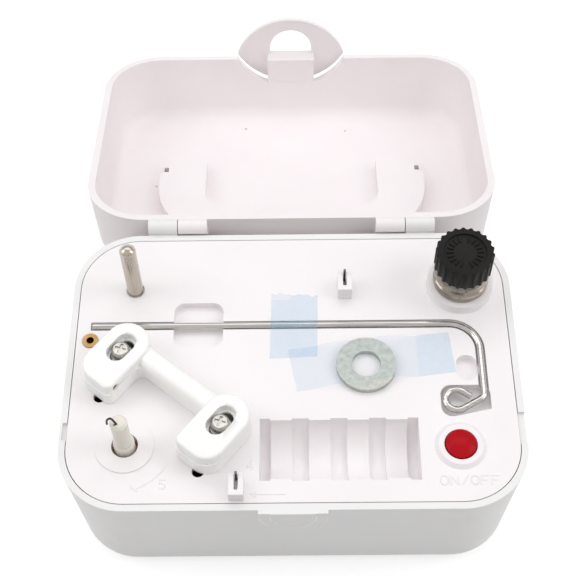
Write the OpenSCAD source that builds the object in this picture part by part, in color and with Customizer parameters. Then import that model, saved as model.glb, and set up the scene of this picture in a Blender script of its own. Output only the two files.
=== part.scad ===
// Electric bobbin winder in a clamshell case, shown with its lid laid open behind the base.
// Millimetres, +Z up, the latch side towards -Y. The origin is on the table under the base's middle.

/* [Case] */
// Width of the case at its rim
case_w = 150; // [146:1:166]
// Depth of the case at its rim
case_d = 104; // [101:1:116]
// Radius of the upright corners at the rim
corner_r = 22; // [20:0.5:24]
// Height of the base from the table to its rim
base_h = 50; // [47:1:58]
// Width of the base's rim around the deck
wall = 2.2; // [1.8:0.1:2.6]
// How far each base wall leans in between rim and table
base_lean = 2.4; // [1.4:0.1:3]
// Rounding of the base's bottom edge
base_edge_r = 6; // [3:0.5:7]
// Thickness of the base's floor
floor_t = 2.4; // [2.2:0.1:3]
// Width of the ledge that carries the deck
ledge = 1.4; // [1:0.1:1.8]

/* [Deck] */
// Thickness of the deck plate
deck_t = 2.4; // [2.2:0.1:3]
// Gap between the deck's edge and the rim
deck_gap = 0.3; // [0.2:0.05:0.5]
// Wall of the pockets that hang under the deck
pocket_wall = 1.5; // [1.2:0.1:2]

/* [Lid] */
// Height of the lid from its rim to its crown
lid_h = 29.5; // [29:0.5:34]
// Width of the lid's rim
lid_wall = 2.6; // [2.2:0.1:3]
// Thickness of the lid's crown
lid_top_t = 2.4; // [2:0.1:2.4]
// How far each lid wall leans in between rim and crown
lid_lean = 2.4; // [1.6:0.1:3]
// Rounding of the crown's edge
lid_edge_r = 8; // [5:0.5:9]
// Gap between the open lid and the table
lid_rest = 0.5; // [0.3:0.1:1.5]

/* [Hinge] */
// Distance of the hinge axis behind the rear wall
hinge_back = 3; // [3:0.1:4]
// Height of the hinge axis above the rim
hinge_up = 1; // [0.5:0.1:1.5]
// Radius of the hinge knuckles
knuckle_r = 2.7; // [2.3:0.1:2.7]
// Length of one knuckle
knuckle_len = 10.2; // [8:0.1:12]
// Distance from the middle of the case to the lid's knuckles
knuckle_in = 29.9; // [24:0.1:34]
// Diameter of the hinge pins
hinge_pin_d = 2; // [1.6:0.1:2.4]

/* [Latch] */
// Half width of the latch tongue at the rim
latch_half_w = 22; // [19:0.5:24]
// How far the tongue reaches past the lid's rim
latch_drop = 15.8; // [14:0.2:18]
// How far the tongue reaches up the lid's wall
latch_rise = 12.9; // [11:0.1:14]
// Thickness of the tongue
latch_t = 2; // [1.6:0.1:2.4]
// Gap between the tongue and the rim's outer face
latch_gap = 1.6; // [1.2:0.1:1.8]
// Half width of the half-moon window in the tongue
window_half_w = 8.5; // [7.5:0.1:9.5]

/* [Carry handle] */
// Depth of the handle's recess in the crown
recess_depth = 5.2; // [4.8:0.1:5.2]
// Radius of the rounded sides of the bulge over the recess
bow_r = 34.5; // [33:0.5:35]
// Distance of those sides' centres from the middle of the lid, across
bow_x = 18; // [17:0.5:18.5]
// Distance of those sides' centres behind the middle of the lid
bow_y = 5.3; // [4.5:0.1:6]
// Width of the bulge on each side
bulge_arm_w = 18.5; // [17:0.5:19]
// Front end of the bulge, measured from the middle of the lid
bulge_y = -9.8; // [-12:0.1:-8]
// Front end of the bulge's outer lugs
lug_y = -2.9; // [-4:0.1:-2]
// Front edge of the bulge's cross band
band_y = 17.8; // [16:0.1:19]
// Thickness of the handle
handle_t = 4.4; // [3.6:0.1:4.6]
// Width of the handle's arms and bar
handle_bar_w = 8; // [7:0.5:9]
// Diameter of the handle's pivot pins
handle_pin_d = 2.4; // [2:0.1:2.6]

/* [Winding spindle] */
// Distance of the spindle from the left face
spindle_side = 21.4; // [21:0.2:25]
// Distance of the spindle from the front face
spindle_front = 22.2; // [22:0.2:25]
// Diameter of the spindle where the bobbin sits
spindle_d = 5.6; // [5.2:0.1:6]
// Diameter of the spindle's foot
spindle_foot_d = 6.8; // [6.4:0.1:7.4]
// Height of the spindle above the deck
spindle_top = 17.2; // [15:0.2:20]
// Height of the spindle's foot above the deck
spindle_foot_top = 3.2; // [2:0.1:4]
// Diameter of the steel spindle shaft
shaft_d = 3; // [2.6:0.1:3.4]
// Diameter of the raised pad around the spindle
pad_d = 18.9; // [17:0.1:20]
// Height of the raised pad
pad_h = 0.5; // [0.3:0.1:0.8]

/* [Drive] */
// Distance between the spindle's axis and the motor's axis
belt_span = 46; // [44:0.5:48]
// Direction from the spindle to the motor, in degrees
belt_dir = 55; // [50:1:58]
// Belt's middle radius on the spindle pulley
pulley_r = 12; // [10:0.2:12.4]
// Belt's middle radius on the motor pulley
pinion_r = 4.2; // [3.6:0.1:5]
// Thickness of the round belt
belt_d = 2; // [1.6:0.1:2.2]
// Distance of the belt below the deck's face
belt_drop = 16; // [15.5:0.1:16.4]
// Diameter of the motor can
motor_d = 20; // [19:0.5:21]
// Height of the motor can
motor_h = 25; // [23:0.5:25]
// Diameter of the motor shaft
motor_shaft_d = 2; // [1.8:0.1:2.4]

/* [Stop arm] */
// Distance of the arm's middle from the spindle, along its slide
arm_reach = 22; // [20:0.1:23]
// Shift of the arm's middle from the spindle, across its slide
arm_shift = 0.65; // [0:0.05:1.5]
// Direction of the arm's long side, in degrees
arm_dir = -38.8; // [-40:0.2:-37]
// Distance between the two screws
screw_span = 42.5; // [40:0.5:44]
// Width of each block
block_w = 15; // [14.7:0.1:15.8]
// Reach of each block from its screw towards the spindle
block_in = 14; // [13.8:0.1:15]
// Reach of each block from its screw away from the spindle
block_out = 10.4; // [10.2:0.1:11]
// Height of the blocks above the deck
block_h = 10.4; // [10.2:0.1:11]
// Height of the bar above the deck
bar_h = 9.3; // [8.4:0.1:9.6]
// Distance of the bar's near side from the screws
bar_in = 0.3; // [0:0.1:0.8]
// Width of the bar
bar_w = 7.4; // [6.4:0.1:7.6]
// Height of the band round each block's foot
band_h = 6; // [5.4:0.1:6.4]
// Travel of the carriage towards the spindle
stop_travel = 6; // [4:0.5:6]
// Adjustment of the arm towards the spindle
adjust_in = 2.7; // [2:0.1:2.8]
// Adjustment of the arm away from the spindle
adjust_out = 1.8; // [1.4:0.1:1.9]
// Diameter of the arm's screws
arm_screw_d = 3; // [2.6:0.1:3.2]

/* [Thread path] */
// Distance of the spool pin from the left face
pin_side = 21.2; // [20.6:0.2:23]
// Distance of the spool pin from the rear face
pin_back = 22.9; // [20:0.1:26]
// Diameter of the spool pin
pin_d = 5.4; // [5:0.1:5.6]
// Height of the spool pin above the deck
pin_top = 25.6; // [22:0.2:25.6]
// Diameter of the pin's shank in the deck
pin_shank_d = 4; // [3.4:0.1:4.4]
// Distance of the tension unit from the right face
knob_side = 17.45; // [16.5:0.05:20]
// Distance of the tension unit from the rear face
knob_back = 22.3; // [21:0.1:25]
// Diameter of the tension knob
knob_d = 19.5; // [18:0.1:20.5]
// Height of the knob
knob_h = 8.3; // [7.4:0.1:8.4]
// Number of grip scallops round the knob
knob_scallops = 22; // [16:1:26]
// Diameter of the tension discs
disc_d = 18.8; // [17:0.1:20]
// Diameter of the tension stud
stud_d = 4; // [3.4:0.1:4.4]
// Diameter of the round boss under the discs
boss_d = 22.3; // [21.4:0.1:22.6]
// Height of the boss
boss_h = 3.6; // [2.8:0.1:3.6]
// Width of a thread guide post
post_w = 4.9; // [4.4:0.1:5.4]
// Length of a thread guide post
post_l = 7.5; // [6.8:0.1:8]
// Height of the rear guide post
rear_post_h = 5.8; // [5:0.1:6.4]
// Height of the front guide post
front_post_h = 4.6; // [4:0.1:5.4]
// Width of the slit in a guide post
slit_w = 1.2; // [1.1:0.05:1.5]

/* [Guide rod] */
// Diameter of the rod's wire
rod_d = 2.34; // [2:0.02:2.4]
// Distance of the rod's long run from the rear face
rod_back = 37.3; // [36:0.1:39]
// Distance of the rod's end from the left face
rod_end_side = 7.8; // [7:0.1:9]
// Distance of the rod's short run from the right face
rod_leg_side = 12.4; // [11.5:0.1:13]
// Radius of the rod's wide bend
rod_bend_r = 10; // [8:0.5:11]
// Distance of the rod's hooked end from the front face
rod_front = 40.5; // [40:0.1:42]
// Radius of the eyelet at the rod's end
eyelet_r = 3.7; // [3.4:0.1:3.8]
// Depth of the rod's channel below the deck's face
channel_depth = 1.55; // [1.3:0.05:1.6]
// Distance of the socket bush from the left face
bush_side = 7.2; // [7:0.1:8]
// Outer diameter of the socket bush
bush_d = 5.4; // [5:0.1:5.6]
// Depth of the socket bush
bush_l = 7; // [5:0.5:8]

/* [Bobbin recess] */
// Number of bobbins that lie side by side
bobbins = 4; // [3:1:4]
// Distance from one bobbin to the next
bobbin_pitch = 12.45; // [12:0.05:12.6]
// Width of a cradle rib
rib_w = 7; // [6:0.1:7.6]
// Radius of the ribs' cradle
cradle_r = 10.25; // [9.8:0.05:10.4]
// How much deeper the slots between the ribs are
slot_extra = 1.8; // [1:0.1:2]
// Distance of the recess's middle to the right of the case's middle
recess_x = 14.95; // [13:0.05:15]
// Distance of the recess's middle from the front face
recess_from_front = 20.6; // [20:0.1:22]

/* [Power] */
// Distance of the button from the right face
button_side = 21.6; // [20.6:0.1:22]
// Distance of the button from the front face
button_front = 21.3; // [20:0.1:23]
// Diameter of the button
button_d = 9.9; // [9.6:0.1:10.6]
// Travel of the button
button_travel = 2; // [1.5:0.1:2.2]
// Length of a cell
cell_l = 50.5; // [49:0.1:51]
// Diameter of a cell
cell_d = 14.5; // [13.5:0.1:14.5]
// Distance of the battery box's middle to the right of the case's middle
battery_x = 32; // [31:0.5:33]
// Distance of the battery box's middle from the front face
battery_from_front = 49; // [47:0.5:52]
// Outer diameter of the inlet's barrel
inlet_d = 8; // [7.4:0.1:8.6]
// Length of the inlet's barrel
inlet_l = 13.6; // [13.2:0.1:14]
// Depth of the inlet's socket
inlet_bore = 9; // [8:0.5:10]
// Height of the inlet's middle over the table
inlet_z = 18; // [17:0.5:22]
// Distance of the inlet in front of the middle between the battery box and the back face
inlet_ahead = 6.85; // [5:0.05:8]

/* [Spool washer] */
// Outer diameter of the loose washer
washer_d = 19.8; // [18:0.1:21]
// Hole of the loose washer
washer_hole_d = 9.6; // [8.4:0.1:10.6]
// Thickness of the loose washer
washer_t = 2; // [1.4:0.1:2.4]
// Distance of the loose washer to the right of the case's middle
washer_x = 24.4; // [23:0.1:26]
// Distance of the loose washer from the back face
washer_back = 53.6; // [52.6:0.1:54.6]

/* [Fits] */
// Radial play of a running shaft or pin
run_gap = 0.06; // [0.03:0.01:0.09]
// Radial play of a seated piece
seat_gap = 0.05; // [0.03:0.01:0.08]
// Play between pieces that move past each other
move_gap = 0.35; // [0.3:0.01:0.4]

/* [Hidden] */
$fn = 96;

// Levels and half sizes
rim_z = base_h;
deck_low = rim_z - deck_t;
half_w = case_w / 2;
half_d = case_d / 2;
pocket_w = case_w - 2 * wall;
pocket_d = case_d - 2 * wall;
pocket_r = corner_r - wall;
inner_w = pocket_w - 2 * ledge;
inner_d = pocket_d - 2 * ledge;
inner_r = pocket_r - ledge;
hinge_y = half_d + hinge_back;
hinge_z = rim_z + hinge_up;
through = 0.5;
finger_depth = 2.7;
finger_r = 3.5;
run_lap = 0.2;
run_step = 0.02;

// Places on the deck
spindle_at = [spindle_side - half_w, spindle_front - half_d];
pin_at = [pin_side - half_w, half_d - pin_back];
knob_at = [half_w - knob_side, half_d - knob_back];
button_at = [half_w - button_side, button_front - half_d];
bush_at = [bush_side - half_w, half_d - rod_back - 5.6];
recess_at = [recess_x, recess_from_front - half_d];
battery_at = [battery_x, battery_from_front - half_d];
motor_at = spindle_at + belt_span * [cos(belt_dir), sin(belt_dir)];
slide_dir = arm_dir + 90;
arm_at = spindle_at + arm_reach * [cos(slide_dir), sin(slide_dir)]
       + arm_shift * [cos(arm_dir), sin(arm_dir)];
rear_post_at = [18.1, half_d - 23.4];
front_post_at = [-17.7, 6.9 - half_d];
washer_at = [washer_x, half_d - washer_back];
deck_screw_inset = 11.5;
deck_screw_xs = [-24, 46.2];
deck_post_r = 3;
deck_screw_d = 3;
deck_screw_head_d = 5.6;
deck_screw_head_h = 2.4;
deck_screw_sink = 12;
deck_screw_at = [for (x = deck_screw_xs, s = [-1, 1]) [x, s * (half_d - deck_screw_inset)]];

// Spindle and drive
hole_r = spindle_foot_d / 2 + 0.9;
bearing_r = hole_r - seat_gap;
bearing_l = 6;
bearing_top = deck_low - 2;
bearing_low = bearing_top - bearing_l;
collar_r = hole_r + 2.2;
spindle_low = bearing_top + 0.3;
shaft_low = 12;
shaft_top = rim_z + 10;
belt_z = rim_z - belt_drop;
pulley_flange = 1.5;
pulley_h = belt_d + 4;
post_top = belt_z - pulley_h / 2 - 5;
belt_tilt = acos((pulley_r - pinion_r) / belt_span);
motor_top = floor_t + motor_h;
shaft_foot = motor_top - motor_h / 2;

// Stop arm
slide_gap = 0.1;
arm_low = rim_z + slide_gap;
arm_top = rim_z + block_h;
block_mid = screw_span / 2;
block_end_r = 7.2;
block_outer_r = 6.5;
block_inner_r = 2.5;
band_from = -6.5;
band_out = 0.6;
bar_r = 2.6;
bar_fillet = 2.5;
bar_lap = 3;
post_size = [10, 14.8];
post_mid = -2.4;
post_h = 6.4;
post_foot_h = 3;
post_boss_r = 3.5;
arm_side_gap = 1;
arm_end_gap = 0.4;
arm_peep_r = 1.3;
arm_peep_l = 3;
arm_peep_up = 7.9;
arm_peep_back = 3.3;
stem_l = 8;
stem_w = 3.3;
stem_mid = -5.85;
stem_shift = 2.2;
slot_w = stem_w + 2 * move_gap;
bridge_t = 2.5;
bridge_top = deck_low - move_gap;
bridge_y = [-3.5, 7];
screw_head_r = 3;
screw_head_h = 2.1;
screw_washer_r = 3;
screw_washer_t = 0.5;
sink_w = 2 * (screw_washer_r + move_gap);
sink_depth = 2.9;
sink_ledge = 0.85;
sink_floor = arm_top - sink_depth;
adjust_span = adjust_in + adjust_out;
adjust_mid = (adjust_in - adjust_out) / 2;
stop_switch_size = [20, 6.4, 6];
stop_switch_mid = bridge_y[1] + 0.6 + stop_switch_size[1] / 2;
stop_switch_drop = 7.5;
stop_switch_top = rim_z - stop_switch_drop;
lever_t = 0.4;
switch_post_r = 1.6;

// Tension unit
disc_low = rim_z + boss_h;
lower_disc_t = 3.8;
upper_disc_t = 4.5;
upper_disc_low = disc_low + lower_disc_t + 0.1;
disc_top = upper_disc_low + upper_disc_t;
disc_groove = 1.2;
knob_low = disc_top + 0.7;
knob_top = knob_low + knob_h;
stud_top = knob_top - 2.4;
nut_d = stud_d + 4;
nut_h = 2.4;
spring_r = stud_d / 2 + 1;
spring_l = 4;

// Spool pin
pin_rivet_h = 2;
pin_sunk = 0.8;
pin_ring = 0.45;

// Guide rod
rod_r = rod_d / 2;
rod_z = rim_z - channel_depth + rod_r + 0.05;
rod_y = half_d - rod_back;
rod_x0 = rod_end_side - half_w;
leg_x = half_w - rod_leg_side;
leg_y = rod_front - half_d;
rod_leg_l = rod_y - rod_bend_r - leg_y;
hook_r = 2.8;
hook_turn = 60;
slant = 90 - hook_turn;
hook_end = [leg_x - hook_r + hook_r * cos(hook_turn), leg_y - hook_r * sin(hook_turn)];
slant_l = 6.8;
eyelet_in = hook_end - slant_l * [cos(slant), sin(slant)];
eyelet_at = eyelet_in + eyelet_r * [-sin(slant), cos(slant)];
eyelet_sweep = 246.5;
tail_from = -hook_turn - eyelet_sweep;
tail_l = 2.9;
tail_in = eyelet_at + eyelet_r * [cos(tail_from), sin(tail_from)];
tail_end = tail_in + tail_l * [sin(tail_from), -cos(tail_from)];
channel_w = rod_d + 2 * move_gap + 0.2;
finger_size = [16.7, 17];
finger_along = 35.6;
finger_at = [rod_x0 + finger_along, rod_y + 0.4];
leg_pocket_size = [6.8, 9.4];
leg_pocket_r = 3;
leg_pocket_at = [leg_x - channel_w / 2 - leg_pocket_size[0] / 2, leg_y + 9.1];
eyelet_pocket_size = [16.3, 11.4];
eyelet_pocket_at = [leg_x - 6.2, eyelet_at[1] - 0.4];
eyelet_pocket_depth = 3.2;
eyelet_pocket_turn = 12;

// Bobbin recess
recess_l = bobbins * bobbin_pitch + 1.3;
slot_half = cradle_r + 0.6;
recess_low = slot_half + slot_extra - 0.6;

// Button and switch
bezel_h = 1.2;
bezel_r = 7;
button_hole_r = button_d / 2 + move_gap;
button_flange_r = button_hole_r + 1;
button_flange_t = 1.2;
switch_r = button_flange_r + 0.6;
switch_tube_r = switch_r + seat_gap + 1.6;
switch_top = deck_low - button_flange_t - button_travel - 2.6;
switch_h = 9;
switch_low = switch_top - switch_h;
switch_leg_l = 4;
button_stem_r = 1.5;
plunger_depth = 6;

// Battery box
cell_gap = 0.5;
cell_step = cell_d + cell_gap;
box_w = cell_l + 6.5;
box_d = 2 * cell_d + 3 * cell_gap;
box_wall = 1.6;
inlet_in = inlet_l - 0.6;
inlet_y = (battery_at[1] + box_d / 2 + box_wall + half_d) / 2 - inlet_ahead;
box_roof = 1.6;
box_top = floor_t + cell_d + cell_gap;
door_t = 1.6;
door_low = 0.1;
door_lap = 1.6;
door_tongue = 0.8;
contact_t = 0.5;
contact_w = 9;
contact_h = 11;
contact_tip_r = 2;
contact_coil_r = 4;
cell_tip_l = 1.4;
cell_tip_d = 5.4;
cell_z = door_low + door_t + 0.2 + cell_d / 2;

// Lid and handle
lid_in_w = case_w - 2 * lid_wall;
lid_in_d = case_d - 2 * lid_wall;
lid_in_h = lid_h - lid_top_t;
crown_z = rim_z + lid_h;
lid_tilt = atan(lid_lean / lid_h);
lid_edge_y = lid_lean - half_d - lid_edge_r * tan(lid_tilt) + lid_edge_r / cos(lid_tilt);
lid_edge_at = [hinge_y - lid_edge_y, crown_z - lid_edge_r - hinge_z];
lid_open = atan2(lid_edge_at[0], lid_edge_at[1])
         + acos((lid_rest + lid_edge_r - hinge_z) / norm(lid_edge_at));
bulge_wall = 2.2;
bulge_out = bow_x + bow_r;
bulge_in = bulge_out - bulge_arm_w;
bulge_fillet = 7;
lug_r = 2.5;
lug_step = 3.3;
recess_out = bulge_out - bulge_wall;
handle_out = recess_out - move_gap;
pivot_y = lug_y + bulge_wall + 2 * move_gap + handle_t / 2;
pivot_z = crown_z - recess_depth / 2;
handle_pin_l = 8;
vent_size = [1.8, 2.8];
vent_at = [bulge_out - 1.6, bulge_y - 0.7];

// Flat shapes

module rounded_rect(w, d, r) {
    square([w - 2 * r, d], center = true);
    square([w, d - 2 * r], center = true);
    for (x = [-1, 1], y = [-1, 1])
        translate([x * (w / 2 - r), y * (d / 2 - r)]) circle(r);
}

module oblong(length, width) {
    square([width, length - width], center = true);
    for (s = [-1, 1]) translate([0, s * (length - width) / 2]) circle(width / 2);
}

// Section of a leaning wall, from a corner's upright axis out to its face
module edge_section(r, h, lean, edge_r) {
    tilt = atan(lean / h);
    cx = r - lean + edge_r * tan(tilt) - edge_r / cos(tilt);
    polygon([[0, 0], [cx, 0], [cx + edge_r * cos(tilt), edge_r * (1 - sin(tilt))], [r, h], [0, h]]);
    translate([cx, edge_r]) circle(edge_r);
}

module cross_section(flat, r, h, lean, edge_r) {
    translate([-flat / 2, 0]) square([flat, h]);
    for (s = [0, 1]) mirror([s, 0]) translate([flat / 2, 0]) edge_section(r, h, lean, edge_r);
}

// Solid shapes

// Box with leaning walls, upright round corners and a rounded bottom edge
module leaning_box(w, d, r, h, lean, edge_r) {
    corners = [[1, 1], [-1, 1], [-1, -1], [1, -1]];
    translate([r - w / 2, 0, 0]) rotate([90, 0, 90])
        linear_extrude(w - 2 * r) cross_section(d - 2 * r, r, h, lean, edge_r);
    translate([0, d / 2 - r, 0]) rotate([90, 0, 0])
        linear_extrude(d - 2 * r) cross_section(w - 2 * r, r, h, lean, edge_r);
    for (i = [0 : 3])
        translate([corners[i][0] * (w / 2 - r), corners[i][1] * (d / 2 - r), 0]) rotate([0, 0, 90 * i])
            rotate_extrude(angle = 90) edge_section(r, h, lean, edge_r);
}

module slab(w, d, r, h) {
    linear_extrude(h) rounded_rect(w, d, r);
}

module block_at(at, size, z0, z1) {
    translate([at[0] - size[0] / 2, at[1] - size[1] / 2, z0]) cube([size[0], size[1], z1 - z0]);
}

// Straight run of round wire, a hair thinner than the bends that its ends reach into
module wire_run(p, q, wire_r) {
    v = q - p;
    translate(p) rotate([0, 90, atan2(v[1], v[0])]) translate([0, 0, -run_lap])
        cylinder(r = wire_r - run_step, h = norm(v) + 2 * run_lap);
}

// Part of a ring of round wire, turning from one angle over a sweep
module wire_arc(at, r, from, sweep, wire_r) {
    translate(at) rotate([0, 0, from]) rotate_extrude(angle = sweep) translate([r, 0]) circle(wire_r);
}

module turned(at, z, points) {
    translate([at[0], at[1], z]) rotate_extrude() polygon(points);
}

module at_deck(at, z) {
    translate([at[0], at[1], z]) children();
}

module in_arm_frame() {
    translate([arm_at[0], arm_at[1], 0]) rotate([0, 0, arm_dir]) children();
}

module in_lid_frame() {
    translate([0, hinge_y, hinge_z]) rotate([-lid_open, 0, 0]) translate([0, -hinge_y, -hinge_z]) children();
}

// Base

module knuckle(x0, web) {
    translate([x0, hinge_y, hinge_z]) rotate([90, 0, 90]) linear_extrude(knuckle_len) {
        circle(knuckle_r);
        polygon(web);
    }
}

module hinge_bores(r) {
    for (s = [-1, 1]) translate([s * (knuckle_in + knuckle_len + 0.15), hinge_y, hinge_z])
        rotate([0, 90, 0]) cylinder(r = r, h = 2 * knuckle_len + 2, center = true);
}

module base_knuckles() {
    reach = hinge_back + 1;
    side = 0.7 * knuckle_r;
    web = [[-reach, -8.5], [-reach, -hinge_up - 0.2], [0.2 - knuckle_r, -hinge_up - 0.1], [0, 0],
        [side, -side]];
    for (x = [knuckle_in + knuckle_len + 0.3, -knuckle_in - 2 * knuckle_len - 0.3]) knuckle(x, web);
}

// Plate with rounded lower corners, hung from the rim
module catch_plate(half, drop, r) {
    translate([r - half, -drop]) square([2 * (half - r), drop]);
    for (s = [0, 1]) mirror([s, 0]) intersection() {
        translate([half - r, r - drop]) union() {
            circle(r);
            translate([-r, 0]) square([2 * r, drop]);
        }
        translate([half - r, -drop]) square([r, drop]);
    }
}

// Lip for the latch with a half-round catch that fits its window
module front_catch() {
    inside = wall / 2;
    catch_r = window_half_w - 1.3;
    lip = [catch_r + 3.7, catch_r - 0.5, catch_r - 2.7];
    on_front(inside - half_d) {
        linear_extrude(inside + latch_gap - move_gap) catch_plate(lip[0], lip[1], lip[2]);
        linear_extrude(inside + latch_gap - move_gap / 2) intersection() {
            circle(catch_r);
            translate([-catch_r, -catch_r]) square([2 * catch_r, catch_r]);
        }
    }
}

module battery_box_walls() {
    difference() {
        block_at(battery_at, [box_w + 2 * box_wall, box_d + 2 * box_wall], floor_t / 2, box_top + box_roof);
        block_at(battery_at, [box_w, box_d], 0, box_top);
    }
}

module base_posts() {
    for (p = deck_screw_at) at_deck(p, floor_t / 2) {
        cylinder(r = deck_post_r, h = deck_low - floor_t / 2);
        cylinder(d = deck_screw_head_d + 3.6, h = deck_screw_sink + 1.2);
    }
    at_deck(spindle_at, floor_t / 2) cylinder(r = shaft_d / 2 + 2.5, h = post_top - floor_t / 2);
    difference() {
        at_deck(motor_at, floor_t / 2) cylinder(r = motor_d / 2 + 2, h = 9);
        at_deck(motor_at, 0) cylinder(r = motor_d / 2 + seat_gap, h = 20);
    }
}

module door_cut() {
    x0 = battery_at[0] - box_w / 2 - door_lap;
    y = battery_at[1];
    d = box_d + 2 * door_lap;
    translate([x0, y - d / 2, -through]) cube([half_w + 1 - x0, d, door_low + door_t + 0.1 + through]);
    translate([x0, y - d / 2 - door_tongue, door_low + door_t / 2])
        cube([half_w + 1 - x0, d + 2 * door_tongue, door_t / 2 + 0.1]);
}

// Grip notches cut into the rim on both sides
module rim_notches() {
    left = [1.5, 6.2];
    right = [wall + 1, 11];
    block_at([0.8 + left[0] / 2 - half_w, spindle_at[1] + 5.3], left, rim_z - 1.2, rim_z + 1);
    block_at([half_w + 1 - right[0] / 2, button_at[1] + 6.3], right, rim_z - 1.2, rim_z + 1);
}

module base_tub() {
    inner_h = base_h - floor_t;
    inner_lean = base_lean * inner_h / base_h;
    color("whitesmoke") difference() {
        union() {
            difference() {
                leaning_box(case_w, case_d, corner_r, base_h, base_lean, base_edge_r);
                translate([0, 0, floor_t])
                    leaning_box(inner_w, inner_d, inner_r, inner_h, inner_lean, base_edge_r - 2);
                translate([0, 0, deck_low]) slab(pocket_w, pocket_d, pocket_r, deck_t + through);
            }
            battery_box_walls();
            base_posts();
            front_catch();
            base_knuckles();
        }
        hinge_bores(hinge_pin_d / 2 + seat_gap);
        block_at(battery_at, [box_w, box_d], -through, box_top);
        door_cut();
        for (p = deck_screw_at) {
            at_deck(p, -through) cylinder(d = deck_screw_d + 2 * seat_gap, h = base_h);
            at_deck(p, -through) cylinder(d = deck_screw_head_d + 0.6, h = deck_screw_sink + through);
        }
        at_deck(spindle_at, shaft_low) cylinder(r = shaft_d / 2 + run_gap, h = base_h);
        inlet_place() cylinder(r = inlet_d / 2 + seat_gap, h = 2 * inlet_l);
        rim_notches();
    }
}

// Deck

module channel_arc(at, r, from, sweep) {
    translate([at[0], at[1], rim_z - channel_depth]) rotate([0, 0, from]) rotate_extrude(angle = sweep)
        translate([r - channel_w / 2, 0]) square([channel_w, channel_depth + through]);
}

module rod_channel() {
    h = channel_depth + through;
    z = rim_z - channel_depth;
    x0 = rod_x0 - move_gap - 0.5;
    bend_x = leg_x - rod_bend_r;
    translate([x0, rod_y - channel_w / 2, z]) cube([bend_x - x0, channel_w, h]);
    channel_arc([bend_x, rod_y - rod_bend_r], rod_bend_r, 0, 90);
    translate([leg_x - channel_w / 2, leg_y - 2, z]) cube([channel_w, rod_leg_l + 2, h]);
}

module deck_pocket(at, size, r, depth) {
    at_deck(at, rim_z - depth) slab(size[0], size[1], r, depth + through);
}

// Pocket under the eyelet, with its front edge along the slanted wire
module eyelet_pocket() {
    size = eyelet_pocket_size;
    intersection() {
        deck_pocket(eyelet_pocket_at, size, finger_r, eyelet_pocket_depth);
        at_deck(eyelet_pocket_at - [size[0] / 4, size[1] / 2], 0) rotate([0, 0, eyelet_pocket_turn])
            translate([-size[0], 0, 0]) cube([3 * size[0], 2 * size[1], rim_z + 2]);
    }
}

module pocket_shell(at, size, depth) {
    w = size + 2 * [pocket_wall, pocket_wall];
    block_at(at, w, rim_z - depth - pocket_wall, rim_z - deck_t / 2);
}

module recess_cut() {
    rib_x = [for (i = [0 : bobbins - 1]) (i - (bobbins - 1) / 2) * bobbin_pitch];
    difference() {
        union() {
            block_at(recess_at, [recess_l, 2 * slot_half], rim_z - slot_extra + 0.6, rim_z + through);
            at_deck(recess_at, rim_z - slot_extra + 0.6) rotate([0, 90, 0])
                cylinder(r = slot_half, h = recess_l, center = true);
        }
        for (x = rib_x) at_deck(recess_at + [x, 0], rim_z) rotate([0, 90, 0]) difference() {
            translate([-2, -slot_half - 1, -rib_w / 2]) cube([slot_half + 6, 2 * slot_half + 2, rib_w]);
            cylinder(r = cradle_r, h = rib_w + 1, center = true);
            translate([-4, -cradle_r, -rib_w]) cube([4, 2 * cradle_r, 2 * rib_w]);
        }
    }
}

module deck_solids() {
    at_deck([0, 0], deck_low)
        slab(pocket_w - 2 * deck_gap, pocket_d - 2 * deck_gap, pocket_r - deck_gap, deck_t);
    at_deck(spindle_at, rim_z - deck_t / 2) cylinder(d = pad_d, h = deck_t / 2 + pad_h);
    at_deck(spindle_at, bearing_low) cylinder(r = collar_r, h = rim_z - deck_t / 2 - bearing_low);
    at_deck(knob_at, rim_z) cylinder(r1 = boss_d / 2 + 0.2, r2 = boss_d / 2, h = boss_h);
    at_deck(button_at, rim_z) cylinder(r1 = bezel_r + 1.3, r2 = bezel_r, h = bezel_h);
    at_deck(button_at, switch_low) cylinder(r = switch_tube_r, h = rim_z - deck_t / 2 - switch_low);
    pocket_shell(recess_at, [recess_l, 2 * slot_half], recess_low);
    pocket_shell(finger_at, finger_size, finger_depth);
    pocket_shell(leg_pocket_at, leg_pocket_size, finger_depth);
    pocket_shell(eyelet_pocket_at, eyelet_pocket_size, eyelet_pocket_depth);
    switch_posts();
}

module stop_slots() {
    in_arm_frame() for (s = [-1, 1]) translate([s * block_mid + stem_shift, stem_mid - stop_travel / 2, 0])
        linear_extrude(rim_z + 1) oblong(stem_l + stop_travel + 2 * move_gap, slot_w);
}

module switch_posts() {
    in_arm_frame() for (s = [-1, 1])
        translate([s * (stop_switch_size[0] / 2 - switch_post_r), stop_switch_mid, stop_switch_top])
            cylinder(r = switch_post_r, h = rim_z - deck_t / 2 - stop_switch_top);
}

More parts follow.
